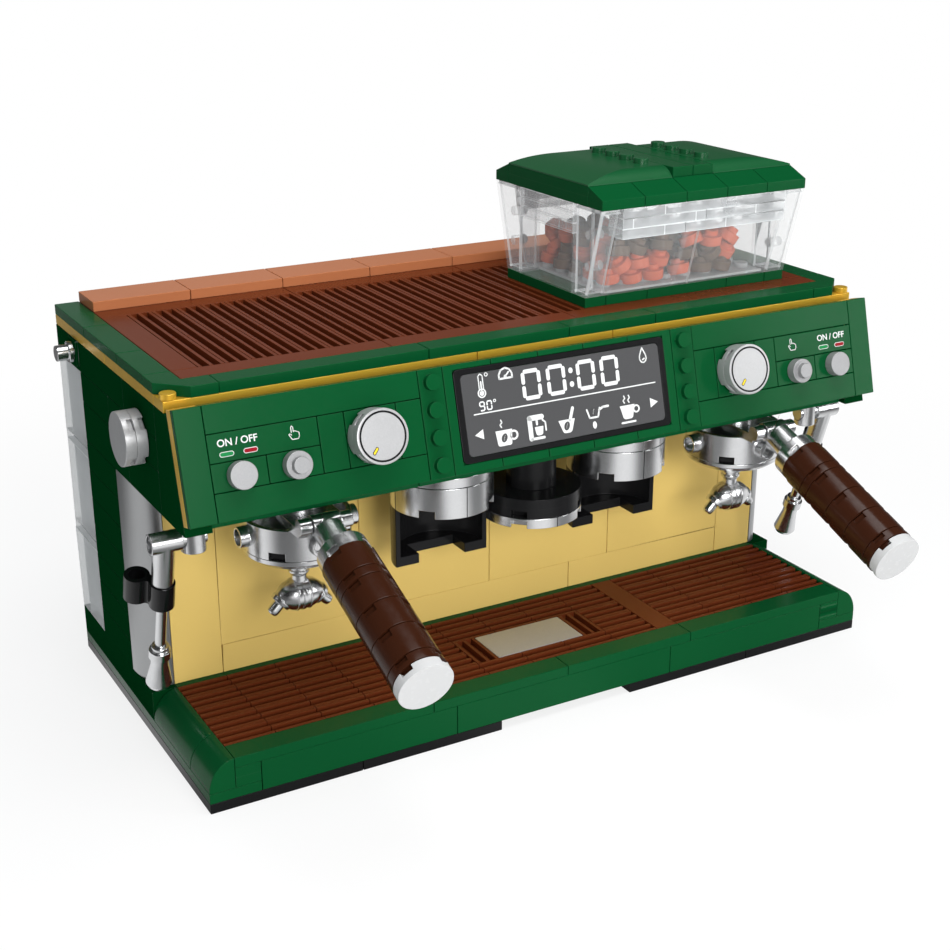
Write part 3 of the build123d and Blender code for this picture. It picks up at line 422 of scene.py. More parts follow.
def clear(name, colour, cover, edge_cover, gloss, rows=()):
    """Clear moulded plastic; cover is how much hides what is behind it, face on and at a slant."""
    flow_waves, gloss_waves, skin_waves, skin = 60, 300, 120, 0.00002
    edge_reach, shadow_share = 0.6 * mm, 0.15
    tree, shader, _ = new_finish(name)
    dark = [c * 0.94 for c in colour]
    tree.links.new(tones(tree, pattern(tree, flow_waves, 2), dark, colour), shader.inputs["Base Color"])
    tree.links.new(spread(tree, pattern(tree, gloss_waves, 3), *gloss), shader.inputs["Roughness"])
    tree.links.new(ripple(tree, skin_waves, skin), shader.inputs["Normal"])
    slant = tree.nodes.new("ShaderNodeLayerWeight")
    slant.inputs["Blend"].default_value = 0.3
    hides = ranged(tree, slant.outputs["Facing"], 0, 1, *cover)
    covers = either(tree, hides, ranged(tree, inner_room(tree, edge_reach), 0.8, 0.3, 0, edge_cover))
    if rows:
        covers = either(tree, covers, plate_rows(tree, *rows))
    passes = ranged(tree, rays(tree, "Is Shadow Ray"), 0, 1, 1.0, shadow_share)
    tree.links.new(times(tree, covers, passes), shader.inputs["Alpha"])


clear("clear", (0.86, 0.88, 0.89), (0.03, 0.32), 0.45, (0.05, 0.12))
clear("tank_clear", (0.8, 0.82, 0.825), (0.36, 0.7), 0.85, (0.08, 0.16))
clear("hopper_clear", (0.86, 0.88, 0.89), (0.03, 0.32), 0.45, (0.05, 0.12),
      rows=(144 * mm, 24 * mm, 3.2 * mm, 0.2 * mm, 0.3))
print("clear", [name for name in finishes if "clear" in name])

# %% [markdown]
# The solids arrive with knife edges. Real bricks have edges eased by a few tenths of a millimetre, and
# those thin bright lines are most of what makes a brick look like a brick. Modifiers do it without touching
# the mesh: weld the loose triangles, join the flat ones, shade round walls smoothly and bevel what is left
# sharp.

# %% eased edges on the solids


def smooth_walls():
    """A node group that shades a mesh smoothly except at sharp edges."""
    group = bpy.data.node_groups.new("smooth_walls", "GeometryNodeTree")
    for way in ("INPUT", "OUTPUT"):
        group.interface.new_socket("Geometry", in_out=way, socket_type="NodeSocketGeometry")
    given = group.nodes.new("NodeGroupInput")
    result = group.nodes.new("NodeGroupOutput")
    faces = group.nodes.new("GeometryNodeSetShadeSmooth")
    faces.domain = "FACE"
    edges = group.nodes.new("GeometryNodeSetShadeSmooth")
    edges.domain = "EDGE"
    edges.inputs["Shade Smooth"].default_value = False
    angle = group.nodes.new("GeometryNodeInputMeshEdgeAngle")
    sharp = group.nodes.new("FunctionNodeCompare")
    sharp.data_type = "FLOAT"
    sharp.operation = "GREATER_THAN"
    sharp.inputs["B"].default_value = math.radians(30)
    group.links.new(given.outputs[0], faces.inputs["Geometry"])
    group.links.new(faces.outputs[0], edges.inputs["Geometry"])
    group.links.new(angle.outputs["Unsigned Angle"], sharp.inputs["A"])
    group.links.new(sharp.outputs["Result"], edges.inputs["Selection"])
    group.links.new(edges.outputs[0], result.inputs[0])
    return group


walls = smooth_walls()


def ease(node, width):
    """Round a solid's edges with modifiers."""
    weld = node.modifiers.new("weld", "WELD")
    weld.merge_threshold = 0.005 * mm
    flat = node.modifiers.new("join_flats", "DECIMATE")
    flat.decimate_type = "DISSOLVE"
    flat.angle_limit = math.radians(1)
    shade = node.modifiers.new("smooth_walls", "NODES")
    shade.node_group = walls
    edge = node.modifiers.new("ease_edges", "BEVEL")
    edge.width = width
    edge.segments = 2
    edge.limit_method = "ANGLE"
    edge.angle_limit = math.radians(35)
    edge.use_clamp_overlap = False
    edge.harden_normals = True


polished = ("ring", "spout", "hinge", "mount", "pipe", "tap")
# The side and rear walls get the darker green, which is painted shade.
special = {
    "side_walls": "shaded_side_green", "rear_wall_bricks": "shaded_side_green", "tank_panels": "tank_clear",
    "hopper_panels": "hopper_clear", "panel_buttons": "shaded_button_silver", "corner_posts": "shaded_post_silver",
}
edge_width, grille_edge_width = 0.2 * mm, 0.12 * mm
for name, node in nodes.items():
    finish = slots[name]
    if finish == "silver" and not any(word in name for word in polished):
        finish = "dull_silver"
    finish = special.get(name, finish)
    node.data.materials.clear()
    node.data.materials.append(finishes[finish])
    ease(node, grille_edge_width if "grille" in name else edge_width)
print("eased", len(nodes), "solids")

# %% [markdown]
# The rest is modelled piece by piece, as by hand: add a primitive, shape it in edit mode, finish it with
# modifiers. A few helpers keep the steps short. Each starts with nothing selected, because an operator acts
# on all that is selected, and each piece ends at the origin with its place in its mesh, as the solids have.

# %% modelling helpers


def start(add, name, **options):
    """Add a primitive with nothing else selected, and name it."""
    bpy.ops.object.select_all(action="DESELECT")
    add(**options)
    piece = bpy.context.object
    piece.name = name
    return piece


def only(piece):
    """Select one piece and make it active."""
    bpy.ops.object.select_all(action="DESELECT")
    piece.select_set(True)
    bpy.context.view_layer.objects.active = piece


def settle(piece, matrix=Matrix.Identity(4)):
    """Put a piece in its place, keeping the place in its mesh."""
    only(piece)
    piece.matrix_world = matrix @ piece.matrix_world
    bpy.ops.object.transform_apply(location=True, rotation=True, scale=True)
    return piece


@contextmanager
def editing(piece):
    """Edit one piece, and come back to object mode."""
    only(piece)
    bpy.ops.object.mode_set(mode="EDIT")
    yield
    bpy.ops.object.mode_set(mode="OBJECT")


def cylinder(name, radius, depth, place=(0, 0, 0), turn=(0, 0, 0), vertices=64, matrix=Matrix.Identity(4)):
    """An upright cylinder around a place, or a turned one."""
    return settle(start(bpy.ops.mesh.primitive_cylinder_add, name, vertices=vertices, radius=radius,
                        depth=depth, location=place, rotation=turn), matrix)


def block(name, size, place=(0, 0, 0), matrix=Matrix.Identity(4)):
    """A box around a place."""
    return settle(start(bpy.ops.mesh.primitive_cube_add, name, size=1, location=place, scale=size), matrix)


def pick(kind, test):
    """In edit mode, select only the faces or edges that pass a test."""
    bpy.ops.mesh.select_mode(type="FACE" if kind == "faces" else "EDGE")
    bpy.ops.mesh.select_all(action="DESELECT")
    mesh = bmesh.from_edit_mesh(bpy.context.object.data)
    chosen = [part for part in getattr(mesh, kind) if test(part)]
    for part in chosen:
        part.select_set(True)
    bmesh.update_edit_mesh(bpy.context.object.data)


def apply(piece, kind, **values):
    """Add a modifier and apply it."""
    only(piece)
    modifier = piece.modifiers.new(kind.lower(), kind)
    for key, value in values.items():
        setattr(modifier, key, value)
    bpy.ops.object.modifier_apply(modifier=modifier.name)


def soften(piece, width, segments=2, angle=40):
    """Round the edges of a piece that are sharper than an angle."""
    apply(piece, "BEVEL", width=width, segments=segments, limit_method="ANGLE",
          angle_limit=math.radians(angle))


def push(way):
    """Extrude what is selected."""
    bpy.ops.mesh.extrude_region_move(TRANSFORM_OT_translate={"value": way})


def copied(piece, name, matrix):
    """A copy with its own mesh, in another place."""
    twin = piece.copy()
    twin.data = piece.data.copy()
    twin.name = name
    scene.collection.objects.link(twin)
    return settle(twin, matrix)


def joined(pieces, name):
    """Several pieces as one."""
    only(pieces[0])
    for piece in pieces[1:]:
        piece.select_set(True)
    bpy.ops.object.join()
    pieces[0].name = name
    return pieces[0]


def outward(piece):
    """Turn all faces of a closed piece outwards."""
    with editing(piece):
        bpy.ops.mesh.select_all(action="SELECT")
        bpy.ops.mesh.remove_doubles(threshold=0.0005 * mm)
        bpy.ops.mesh.normals_make_consistent(inside=False)


def dress(piece, finish, body, stands_for=(), sharp=35):
    """Give a finished piece its material, its body and the solids that it stands for."""
    only(piece)
    bpy.ops.object.shade_smooth_by_angle(angle=math.radians(sharp))
    apply(piece, "WEIGHTED_NORMAL", keep_sharp=True)
    piece.data.materials.clear()
    piece.data.materials.append(finishes[finish])
    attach(piece, body)
    if stands_for:
        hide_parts(*stands_for)
    print(piece.name, "faces", len(piece.data.polygons), "on", body)


sides = (("left", -1), ("right", 1))
print("sides", sides)

# %% [markdown]
# The knobs, the handles and their end caps are all the same round brick, two studs across, in several
# heights. Its lower rim has a square notch on each diagonal, and those notches give the stacked bricks
# their stepped seams. A cylinder is cut with four boxes by a Boolean modifier, because the notches cross
# the rim of a round wall, and then all its edges are eased.

# %% notched round brick
plate_height = 3.2 * mm
joint = 0.2 * mm
brick_radius = 7.9 * mm
notch_width = 3.6 * mm
# Height and depth of the notches
brick_notch = (2.1 * mm, 0.8 * mm)
thin_notch = (1.5 * mm, 0.8 * mm)
disc_notch = (1.5 * mm, 1.3 * mm)


def facing_up(face):
    """Whether a face looks up."""
    return face.normal.z > 0.9


def combine(piece, other, operation):
    """Unite a piece with another, or cut or cross it with the other, and drop the other."""
    apply(piece, "BOOLEAN", object=other, operation=operation, solver="EXACT")
    bpy.data.objects.remove(other)


def round_brick(name, height, notch_height, notch_depth):
    """A round brick along +Z from the origin."""
    piece = cylinder(name, brick_radius, height, (0, 0, height / 2))
    with editing(piece):
        pick("faces", facing_up)
        bpy.ops.mesh.inset(thickness=0.5 * mm)
    notch_size = (2 * notch_depth, notch_width, 2 * notch_height)
    boxes = []
    for i in range(4):
        turn = Matrix.Rotation(math.radians(45 + 90 * i), 4, "Z")
        boxes.append(block("notch_box", notch_size, (brick_radius, 0, 0), turn))
    combine(piece, joined(boxes, "notch_cutter"), "DIFFERENCE")
    soften(piece, 0.22 * mm)
    return piece


brick = round_brick("round_brick", 3 * plate_height - joint, *brick_notch)
thin_brick = round_brick("thin_round_brick", plate_height - joint, *thin_notch)
disc = round_brick("round_disc", plate_height, *disc_notch)
print("round brick faces", len(brick.data.polygons), len(disc.data.polygons))

# %% [markdown]
# Each handle is a row of these bricks along the line that slopes down from the hinge: a brick, a thin one,
# three bricks and a thin one, closed by a white disc. The last brick has a round boss that reaches into the
# disc, so brown shows in the disc's notches.

# %% handles
group_x, group_y = 80 * mm, -36 * mm
hinge_y, hinge_z = -56 * mm, 80 * mm
handle_slope = math.radians(21)
grip_start = 16.6 * mm
grip_plates = (3, 1, 3, 3, 3, 1)
boss_height, notch_depth = 2 * disc_notch[0], disc_notch[1]
boss_radius = brick_radius - notch_depth + 0.2 * mm
for side, sign in sides:
    body = side + "_handle"
    slope = Matrix.Rotation(math.pi / 2 + handle_slope, 4, "X")
    along = Matrix.Translation((sign * group_x, hinge_y, hinge_z)) @ slope
    row = []
    reach = grip_start
    for count in grip_plates:
        model = brick if count == 3 else thin_brick
        row.append(copied(model, "grip_piece", along @ Matrix.Translation((0, 0, reach))))
        reach += count * plate_height
    end = along @ Matrix.Translation((0, 0, reach))
    boss = cylinder("grip_boss", boss_radius, boss_height, matrix=end)
    soften(boss, 0.1 * mm, segments=1)
    grip = joined(row + [boss], side + "_grip_bricks")
    dress(grip, "dark_brown", body, [side + "_handle_grip"])
    cap = copied(disc, side + "_end_disc", end)
    dress(cap, "white", body, [side + "_handle_cap"])
for part in (brick, thin_brick):
    bpy.data.objects.remove(part)

# %% [markdown]
# A knob is two of the discs on top of each other. The dials on the fascia have a thin black ring near the
# rim of the face and a short yellow pointer with a black edge, all printed, so these are films a few
# hundredths of a millimetre thick that turn with the dial.

# %% knobs
fascia_tilt = math.radians(90 - 14.8)
fascia_place = Matrix.Translation((0, -51.3 * mm, 118.4 * mm)) @ Matrix.Rotation(fascia_tilt, 4, "X")
dial_x, dial_down = 64 * mm, 16 * mm
side_knob_x, side_knob_y, side_knob_z = 120 * mm, -22 * mm, 102.4 * mm
play = 0.2 * mm
dial_face = play + 2 * plate_height


def knob(body, place):
    """Two discs on an axle along +Z of the place; they stand for the body's solid, which has its name."""
    discs = [copied(disc, "knob_disc", place @ Matrix.Translation((0, 0, play + i * plate_height)))
             for i in range(2)]
    dress(joined(discs, body + "_discs"), "dull_silver", body, [body])


for side, sign in sides:
    knob(side + "_dial", fascia_place @ Matrix.Translation((sign * dial_x, -dial_down, 0)))
    out_sideways = Matrix.Rotation(sign * math.pi / 2, 4, "Y")
    side_place = Matrix.Translation((sign * side_knob_x, side_knob_y, side_knob_z)) @ out_sideways
    knob(side + "_side_knob", side_place)
bpy.data.objects.remove(disc)

# %% dial prints
film = 0.05 * mm
ring_inner, ring_outer = 6.6 * mm, 7.16 * mm
pointer_x, pointer_y = -2.75 * mm, -3.7 * mm


def band(name, inner, outer, height):
    """A flat ring on the XY plane."""
    piece = start(bpy.ops.mesh.primitive_circle_add, name, vertices=96, radius=inner)
    with editing(piece):
        bpy.ops.mesh.select_all(action="SELECT")
        bpy.ops.mesh.extrude_edges_move()
        bpy.ops.transform.resize(value=(outer / inner, outer / inner, 1), center_override=(0, 0, 0))
        bpy.ops.mesh.select_all(action="SELECT")
        push((0, 0, height))
    outward(piece)
    return piece


def upright(edge, height):
    """Whether an edge rises by more than half of a height."""
    return abs(edge.verts[0].co.z - edge.verts[1].co.z) > height / 2


def pill(name, length, width, height):
    """A bar with round ends along X, standing on the XY plane."""
    piece = block(name, (length, width, height), (0, 0, height / 2))
    with editing(piece):
        pick("edges", lambda edge: upright(edge, height))
        bpy.ops.mesh.bevel(offset=min(length, width) * 0.49, segments=5, affect="EDGES")
    return piece


moulded("print_yellow", (0.75, 0.55, 0.02), gloss=(0.3, 0.4))
pointer_turn = Matrix.Rotation(math.radians(50), 4, "Z")
for side, sign in sides:
    body = side + "_dial"
    face = fascia_place @ Matrix.Translation((sign * dial_x, -dial_down, dial_face))
    ring = settle(band(side + "_dial_ring", ring_inner, ring_outer, film), face)
    dress(ring, "black", body)
    pointer_place = face @ Matrix.Translation((pointer_x, pointer_y, 0)) @ pointer_turn
    edge = settle(pill(side + "_pointer_edge", 2.5 * mm, 1.0 * mm, film), pointer_place)
    dress(edge, "black", body)
    pointer = settle(pill(side + "_pointer", 2.1 * mm, 0.6 * mm, 1.6 * film), pointer_place)
    dress(pointer, "print_yellow", body)

# %% [markdown]
# Under each dish hangs a double spout. It is one moulding: a neck with a collar, a barrel with a ridge
# round its middle, and two arms that leave the barrel's ends, narrow, and turn down into short round tips.
# The barrel starts as a short cylinder lying along X. Both of its end faces are extruded out step by step,
# and each new face is moved, sized and turned to the next ring of the arm.

# %% spouts
spout_z = 50.4 * mm
# Each ring: distance out and height from the barrel's middle, radius, and turn down in degrees
arm_rings = (
    (0.5, 0, 5.1, 0), (0.55, 0, 4.8, 0), (1.7, 0, 4.85, 0), (1.75, 0, 5.1, 0), (2.3, 0, 5.05, 0),
    (2.4, -0.02, 4.7, 3), (3.8, -0.25, 4.4, 9), (5.0, -0.7, 3.75, 18), (5.8, -1.2, 3.1, 28),
    (5.9, -1.27, 3.4, 34), (6.7, -1.95, 3.1, 42), (6.75, -2.0, 1.8, 45), (8.4, -3.65, 1.8, 45),
    (9.1, -4.35, 1.65, 45), (9.4, -4.65, 1.1, 45),
)
neck_rings = (
    (0, 3.6, 2.4, 0), (0, 6.2, 2.3, 0), (0, 7.4, 3.2, 0), (0, 8.0, 3.2, 0), (0, 8.02, 2.7, 0),
    (0, 9.2, 2.7, 0), (0, 9.22, 3.8, 0), (0, 13.2, 3.8, 0),
)
neck_foot = 2.0


def chosen_middle():
    """Middle of the selected face in edit mode."""
    mesh = bmesh.from_edit_mesh(bpy.context.object.data)
    return next(face.calc_center_median().copy() for face in mesh.faces if face.select)


def extruded_rings(sign, rings):
    """Extrude the selected round face through a row of rings, out along X or, with no sign, up along Z."""
    for (out0, up0, radius0, turn0), (out1, up1, radius1, turn1) in zip(rings[:-1], rings[1:]):
        move = (sign * (out1 - out0) * mm, 0, (up1 - up0) * mm)
        push(move)
        size = radius1 / radius0
        middle = chosen_middle()
        bpy.ops.transform.resize(value=(size, size, size), center_override=middle)
        if turn1 != turn0:
            turn = -sign * math.radians(turn1 - turn0)
            bpy.ops.transform.rotate(value=turn, orient_axis="Y", center_override=middle)


def spout(name):
    """The double spout, its barrel's middle at the origin."""
    width, _, radius, _ = arm_rings[0]
    barrel = cylinder(name, radius * mm, 2 * width * mm, turn=(0, math.pi / 2, 0), vertices=32)
    with editing(barrel):
        for sign in (-1, 1):
            pick("faces", lambda face: face.normal.x * sign > 0.9 and abs(
                face.calc_center_median().x - sign * width * mm) < 0.01 * mm)
            extruded_rings(sign, arm_rings)
    outward(barrel)
    _, neck_start, neck_radius, _ = neck_rings[0]
    neck_height, neck_middle = neck_start - neck_foot, (neck_foot + neck_start) / 2
    neck = cylinder("neck", neck_radius * mm, neck_height * mm, (0, 0, neck_middle * mm), vertices=32)
    with editing(neck):
        pick("faces", facing_up)
        extruded_rings(0, neck_rings)
    outward(neck)
    whole = joined([barrel, neck], name)
    soften(whole, 0.12 * mm)
    return whole


spout_model = spout("spout_model")
for side, sign in sides:
    place = Matrix.Translation((sign * group_x, group_y, spout_z))
    dress(copied(spout_model, side + "_double_spout", place), "silver", side + "_portafilter",
          [side + "_portafilter_spout"])
print("spout in mm", [round(v / mm, 1) for v in spout_model.dimensions])
bpy.data.objects.remove(spout_model)

# %% [markdown]
# The basket over each spout has four narrow slots round its foot. Black fillets close the slots from within,
# as painted shade for the dark inside of the basket. The dosing heads and the tamper's plate are each four
# quarter rings, and the joints between the quarters show as fine dark lines, so slim black strips lie in
# them.

# %% slots and joints
large_radius = 15.9 * mm
# Radius, depth, width, lower and upper end of the slots
slot = (13.9 * mm, 1.6 * mm, 4.9 * mm, 67.25 * mm, 69.55 * mm)
# Place across, lower and upper end of the joints
joint_rows = ((-32, 70.45, 79.95), (32, 70.45, 79.95), (0, 60.85, 63.95))
joint_deep, joint_wide = 0.16 * mm, 0.22 * mm


def strip(name, x, angle, radius, deep, wide, z0, z1):
    """An upright strip on a round wall about a vertical axis at x, at an angle from the front."""
    piece = block(name, (wide, deep, z1 - z0), (0, -radius, (z0 + z1) / 2))
    soften(piece, min(deep, wide) * 0.2, angle=30)
    turn = Matrix.Translation((x, group_y, 0)) @ Matrix.Rotation(math.radians(angle), 4, "Z")
    return settle(piece, turn)


# Black fillets in the basket's slots are painted shade.
for side, sign in sides:
    slot_shades = [strip("slot_fillet", sign * group_x, 45 + 90 * i, *slot) for i in range(4)]
    dress(joined(slot_shades, side + "_slot_shade"), "black", side + "_portafilter")
joints = [strip("joint_strip", x * mm, 90 * i, large_radius, joint_deep, joint_wide, z0 * mm, z1 * mm)
          for x, z0, z1 in joint_rows for i in range(4)]
dress(joined(joints, "quarter_joints"), "black", "machine")

# %% [markdown]
# Each steam wand carries a clip of black rubber: a ring round the rod and an open ring beside it, with a
# drawn-in waist between them. Two cylinders and a block between them are united, and two smaller cylinders,
# which touch both rings, hollow out the waist.

# %% wand clips
clip_radius, clip_length, clip_reach = 3.7 * mm, 8.2 * mm, 8 * mm
waist_radius, waist_out, waist_edge = 1.04 * mm, 2.54 * mm, 1.98 * mm
rod_radius, open_radius = 1.65 * mm, 2.3 * mm
wand_x, wand_top = 120 * mm, 75.2 * mm
wand_lean = math.radians(17)
clip_start = 14.7 * mm


def post(name, x, y, radius, extra=0):
    """An upright cylinder as long as the clip, longer by an extra bit at both ends."""
    return cylinder(name, radius, clip_length + 2 * extra, (x, y, clip_length / 2), vertices=40)


clip = post("clip_model", 0, 0, clip_radius)
combine(clip, post("clip_ring", clip_reach, 0, clip_radius), "UNION")
waist_size = (4 * mm, 2 * waist_edge, clip_length)
combine(clip, block("waist_block", waist_size, (clip_reach / 2, 0, clip_length / 2)), "UNION")
cuts = [post("waist", clip_reach / 2, y, waist_radius, mm) for y in (-waist_out, waist_out)]
cuts += [post("rod_hole", 0, 0, rod_radius, mm), post("open_hole", clip_reach, 0, open_radius, mm)]
for cut in cuts:
    combine(clip, cut, "DIFFERENCE")
soften(clip, 0.5 * mm, segments=3, angle=50)
wand_axis = Vector((0, math.sin(wand_lean), -math.cos(wand_lean)))
wand_back = Vector((0, math.cos(wand_lean), math.sin(wand_lean)))
for side, sign in sides:
    out_of = (wand_back + Vector((sign, 0, 0))).normalized()
    across = wand_axis.cross(out_of)
    place = Matrix((out_of, across, wand_axis)).transposed().to_4x4()
    place.translation = Vector((sign * wand_x, group_y, wand_top)) + wand_axis * clip_start
    rubber_clip = copied(clip, side + "_rubber_clip", place)
    dress(rubber_clip, "rubber", side + "_wand", [side + "_wand_clip"])
bpy.data.objects.remove(clip)

# %% [markdown]
# The panel's prints come next. They are flat, so each is made of bars with round ends, discs and rings, and
# the words of the switch are text turned into a mesh. All lie on the slanted fascia, on which x runs across
# and t runs down from its top edge, both in millimetres.

# %% print helpers


def on_face(x, t, h):
    """A place on the fascia: across, down and out of it."""
    return fascia_place @ Matrix.Translation((x * mm, -t * mm, h * mm))


def stroke(x0, t0, x1, t1, width, h):
    """A printed bar between two points."""
    run = Vector((x1 - x0, t0 - t1))
    turn = Matrix.Rotation(math.atan2(run.y, run.x), 4, "Z")
    bar = pill("stroke", (run.length + width) * mm, width * mm, film)
    return settle(bar, on_face((x0 + x1) / 2, (t0 + t1) / 2, h) @ turn)


def trace(points, width, h):
    """Printed bars from point to point."""
    return [stroke(*first, *second, width, h) for first, second in zip(points[:-1], points[1:])]


def spot(x, t, across, down, h, turn=0, corners=32):
    """A printed disc or, with few corners, a printed polygon."""
    piece = start(bpy.ops.mesh.primitive_circle_add, "spot", vertices=corners, radius=1, fill_type="NGON")
    with editing(piece):
        bpy.ops.mesh.select_all(action="SELECT")
        push((0, 0, 1))
    outward(piece)
    size = Matrix.Diagonal((across * mm, down * mm, film, 1))
    return settle(piece, on_face(x, t, h) @ Matrix.Rotation(math.radians(turn), 4, "Z") @ size)


def hoop(x, t, inner, outer, h):
    """A printed ring."""
    return settle(band("hoop", inner * mm, outer * mm, film), on_face(x, t, h))


def vessel(x, t, top, bottom, height, h):
    """A printed cup: straight sides that narrow downwards, with its lower corners rounded."""
    piece = block("vessel", (top * mm, height * mm, film), (0, 0, film / 2))
    with editing(piece):
        pick("faces", lambda face: face.normal.y < -0.9)
        bpy.ops.transform.resize(value=(bottom / top, 1, 1), center_override=(0, 0, 0))
        pick("edges", lambda edge: all(v.co.y < 0 for v in edge.verts) and upright(edge, film))
        bpy.ops.mesh.bevel(offset=0.7 * mm, segments=4, affect="EDGES")
    return settle(piece, on_face(x, t, h))


print("prints are", film / mm, "mm thick")

# %% [markdown]
# Beside each power button stand the switch's two words and its two lamps, green and red, each lamp with a
# white edge. Over each select button is a pointing hand. The right half of the panel has the same prints in
# the opposite order.

# %% panel prints
moulded("print_white", (0.68, 0.69, 0.68), drift=0.02, gloss=(0.35, 0.45))
moulded("lamp_green", (0.01, 0.2, 0.055), gloss=(0.25, 0.35), edge_wear_and_highlight=0.0)
moulded("lamp_red", (0.26, 0.006, 0.014), gloss=(0.25, 0.35), edge_wear_and_highlight=0.0)


def words(text, name, x, t, size):
    """Printed words centred on a place of the fascia."""
    piece = start(bpy.ops.object.text_add, name)
    piece.data.body = text
    piece.data.size = size * mm
    piece.data.align_x = "CENTER"
    piece.data.align_y = "CENTER"
    piece.data.offset = 0.035 * mm
    piece.data.extrude = film / 2
    bpy.ops.object.convert(target="MESH")
    return settle(bpy.context.object, on_face(x, t, film / 2 / mm))


def hand(name, x, t):
    """A pointing hand: a long finger, three short ones, a thumb and a cuff, drawn as an outline."""
    line = 0.22
    finger = trace([(-0.75, -0.2), (-0.75, -1.6), (-0.45, -1.95), (-0.15, -1.6), (-0.15, -0.3)], line, 0)
    fist = trace([(-0.15, -0.5), (0.45, -0.45), (1.0, -0.2), (1.45, 0.1), (1.5, 1.0), (1.15, 1.75)], line, 0)
    thumb = trace([(-0.75, 0.5), (-1.25, 0.1), (-1.55, 0.3), (-0.7, 1.75)], line, 0)
    cuff = [stroke(-0.7, 1.75, 1.15, 1.75, line, 0)]
    piece = joined(finger + fist + thumb + cuff, name)
    return settle(piece, fascia_place @ Matrix.Translation((x * mm, -t * mm, 0)) @ fascia_place.inverted())


lamp_down = 13.9
for side, sign in sides:
    power_x = sign * 103.5
    dress(words("ON / OFF", side + "_switch_words", power_x, 10.9, 2.75), "print_white", "machine")
    for colour, x in (("green", power_x - 3.4), ("red", power_x + 3.4)):
        place = on_face(x, lamp_down, 0)
        name = side + "_" + colour + "_lamp"
        edge = settle(pill(name + "_edge", 4.1 * mm, 1.4 * mm, film), place)
        dress(edge, "print_white", "machine")
        dress(settle(pill(name, 3.75 * mm, 1.05 * mm, 2 * film), place), "lamp_" + colour, "machine")
    dress(hand(side + "_hand_sign", sign * 87.2, 11.4), "print_white", "machine")

# %% [markdown]
# The display shows a clock, a few signs and a row of drinks, as light shapes on a grey screen. The clock's
# digits are seven-bar digits that all read nought, so one digit is drawn and repeated. The same bars give
# the small number of the thermometer.

# %% display clock
glass = 0.2


def digit(x, t, width, height, bar, lit):
    """A seven-bar digit, its top left corner at a place; the bars are lettered from the top, clockwise."""
    left, right = x + bar / 2, x + width - bar / 2
    top, bottom = t + bar / 2, t + height - bar / 2
    middle = (top + bottom) / 2
    room = bar * 0.68
    bars = {
        "a": (left + room, top, right - room, top), "b": (right, top + room, right, middle - room),
        "c": (right, middle + room, right, bottom - room), "d": (left + room, bottom, right - room, bottom),
        "e": (left, middle + room, left, bottom - room), "f": (left, top + room, left, middle - room),
        "g": (left + room, middle, right - room, middle),
    }
    return [stroke(*bars[letter], bar, glass) for letter in lit]


clock = []
for x in (-14.7, -6.1, 4.4, 12.9):
    clock += digit(x, 4.9, 6.6, 9.1, 1.2, "abcdef")
clock += [spot(2.45, t, 0.75, 0.85, glass) for t in (7.4, 11.5)]
dress(joined(clock, "display_clock"), "print_white", "machine")

# %% display signs
signs = [stroke(-31.6, 15.4, 32.2, 15.4, 0.35, glass)]
signs += [hoop(-28.2, 9.6, 1.0, 1.4, glass), spot(-28.2, 9.6, 0.75, 0.75, glass)]
signs += trace([(-28.9, 8.4), (-28.9, 4.6), (-28.2, 3.95), (-27.5, 4.6), (-27.5, 8.4)], 0.32, glass)
signs += [stroke(-28.2, 9.2, -28.2, 6.3, 0.5, glass), hoop(-26.2, 4.4, 0.35, 0.6, glass)]
signs += trace([(-22.0, 6.4), (-22.0, 5.2), (-21.2, 3.9), (-19.8, 3.4), (-18.4, 3.9), (-17.6, 5.2),
                (-17.6, 6.4), (-22.0, 6.4)], 0.55, glass)
signs += [stroke(-19.9, 5.9, -18.7, 4.7, 0.45, glass), spot(-19.9, 5.9, 0.5, 0.5, glass)]
signs += trace([(28.7, 4.2), (27.6, 6.6), (27.5, 7.7), (28.1, 8.6), (28.9, 8.8), (29.6, 8.4),
                (30.0, 7.6), (29.8, 6.6), (28.7, 4.2)], 0.4, glass)
signs += [stroke(28.6, 7.9, 29.2, 7.6, 0.45, glass)]
signs += [spot(-30.3, 21.4, 1.7, 1.9, glass, 90, 3), spot(30.6, 21.4, 1.7, 1.9, glass, -90, 3)]
signs += digit(-29.6, 11.9, 1.9, 2.9, 0.42, "abcdfg") + digit(-27.2, 11.9, 1.9, 2.9, 0.42, "abcdef")
signs += [hoop(-24.4, 12.3, 0.25, 0.48, glass)]
dress(joined(signs, "display_signs"), "print_white", "machine")

# %% [markdown]
# The five drinks are pictures of the plainest kind: a mug, a machine, a bowl with a pestle, a filter holder
# with a drop, and a cup on a saucer. Beans on them are dark spots with a light slit.

# %% display pictures
pictures = []
beans = []


def steam(x, t):
    """A wisp of steam that starts above a place."""
    return trace([(x, t), (x - 0.4, t - 0.7), (x + 0.3, t - 1.4), (x, t - 2.1)], 0.4, glass)


def printed_bean(x, t):
    """A dark bean with a light slit."""
    beans.append(spot(x, t, 0.95, 1.35, glass + film / mm, -25))
    return [stroke(x - 0.25, t + 0.7, x + 0.25, t - 0.7, 0.3, glass + film / mm)]


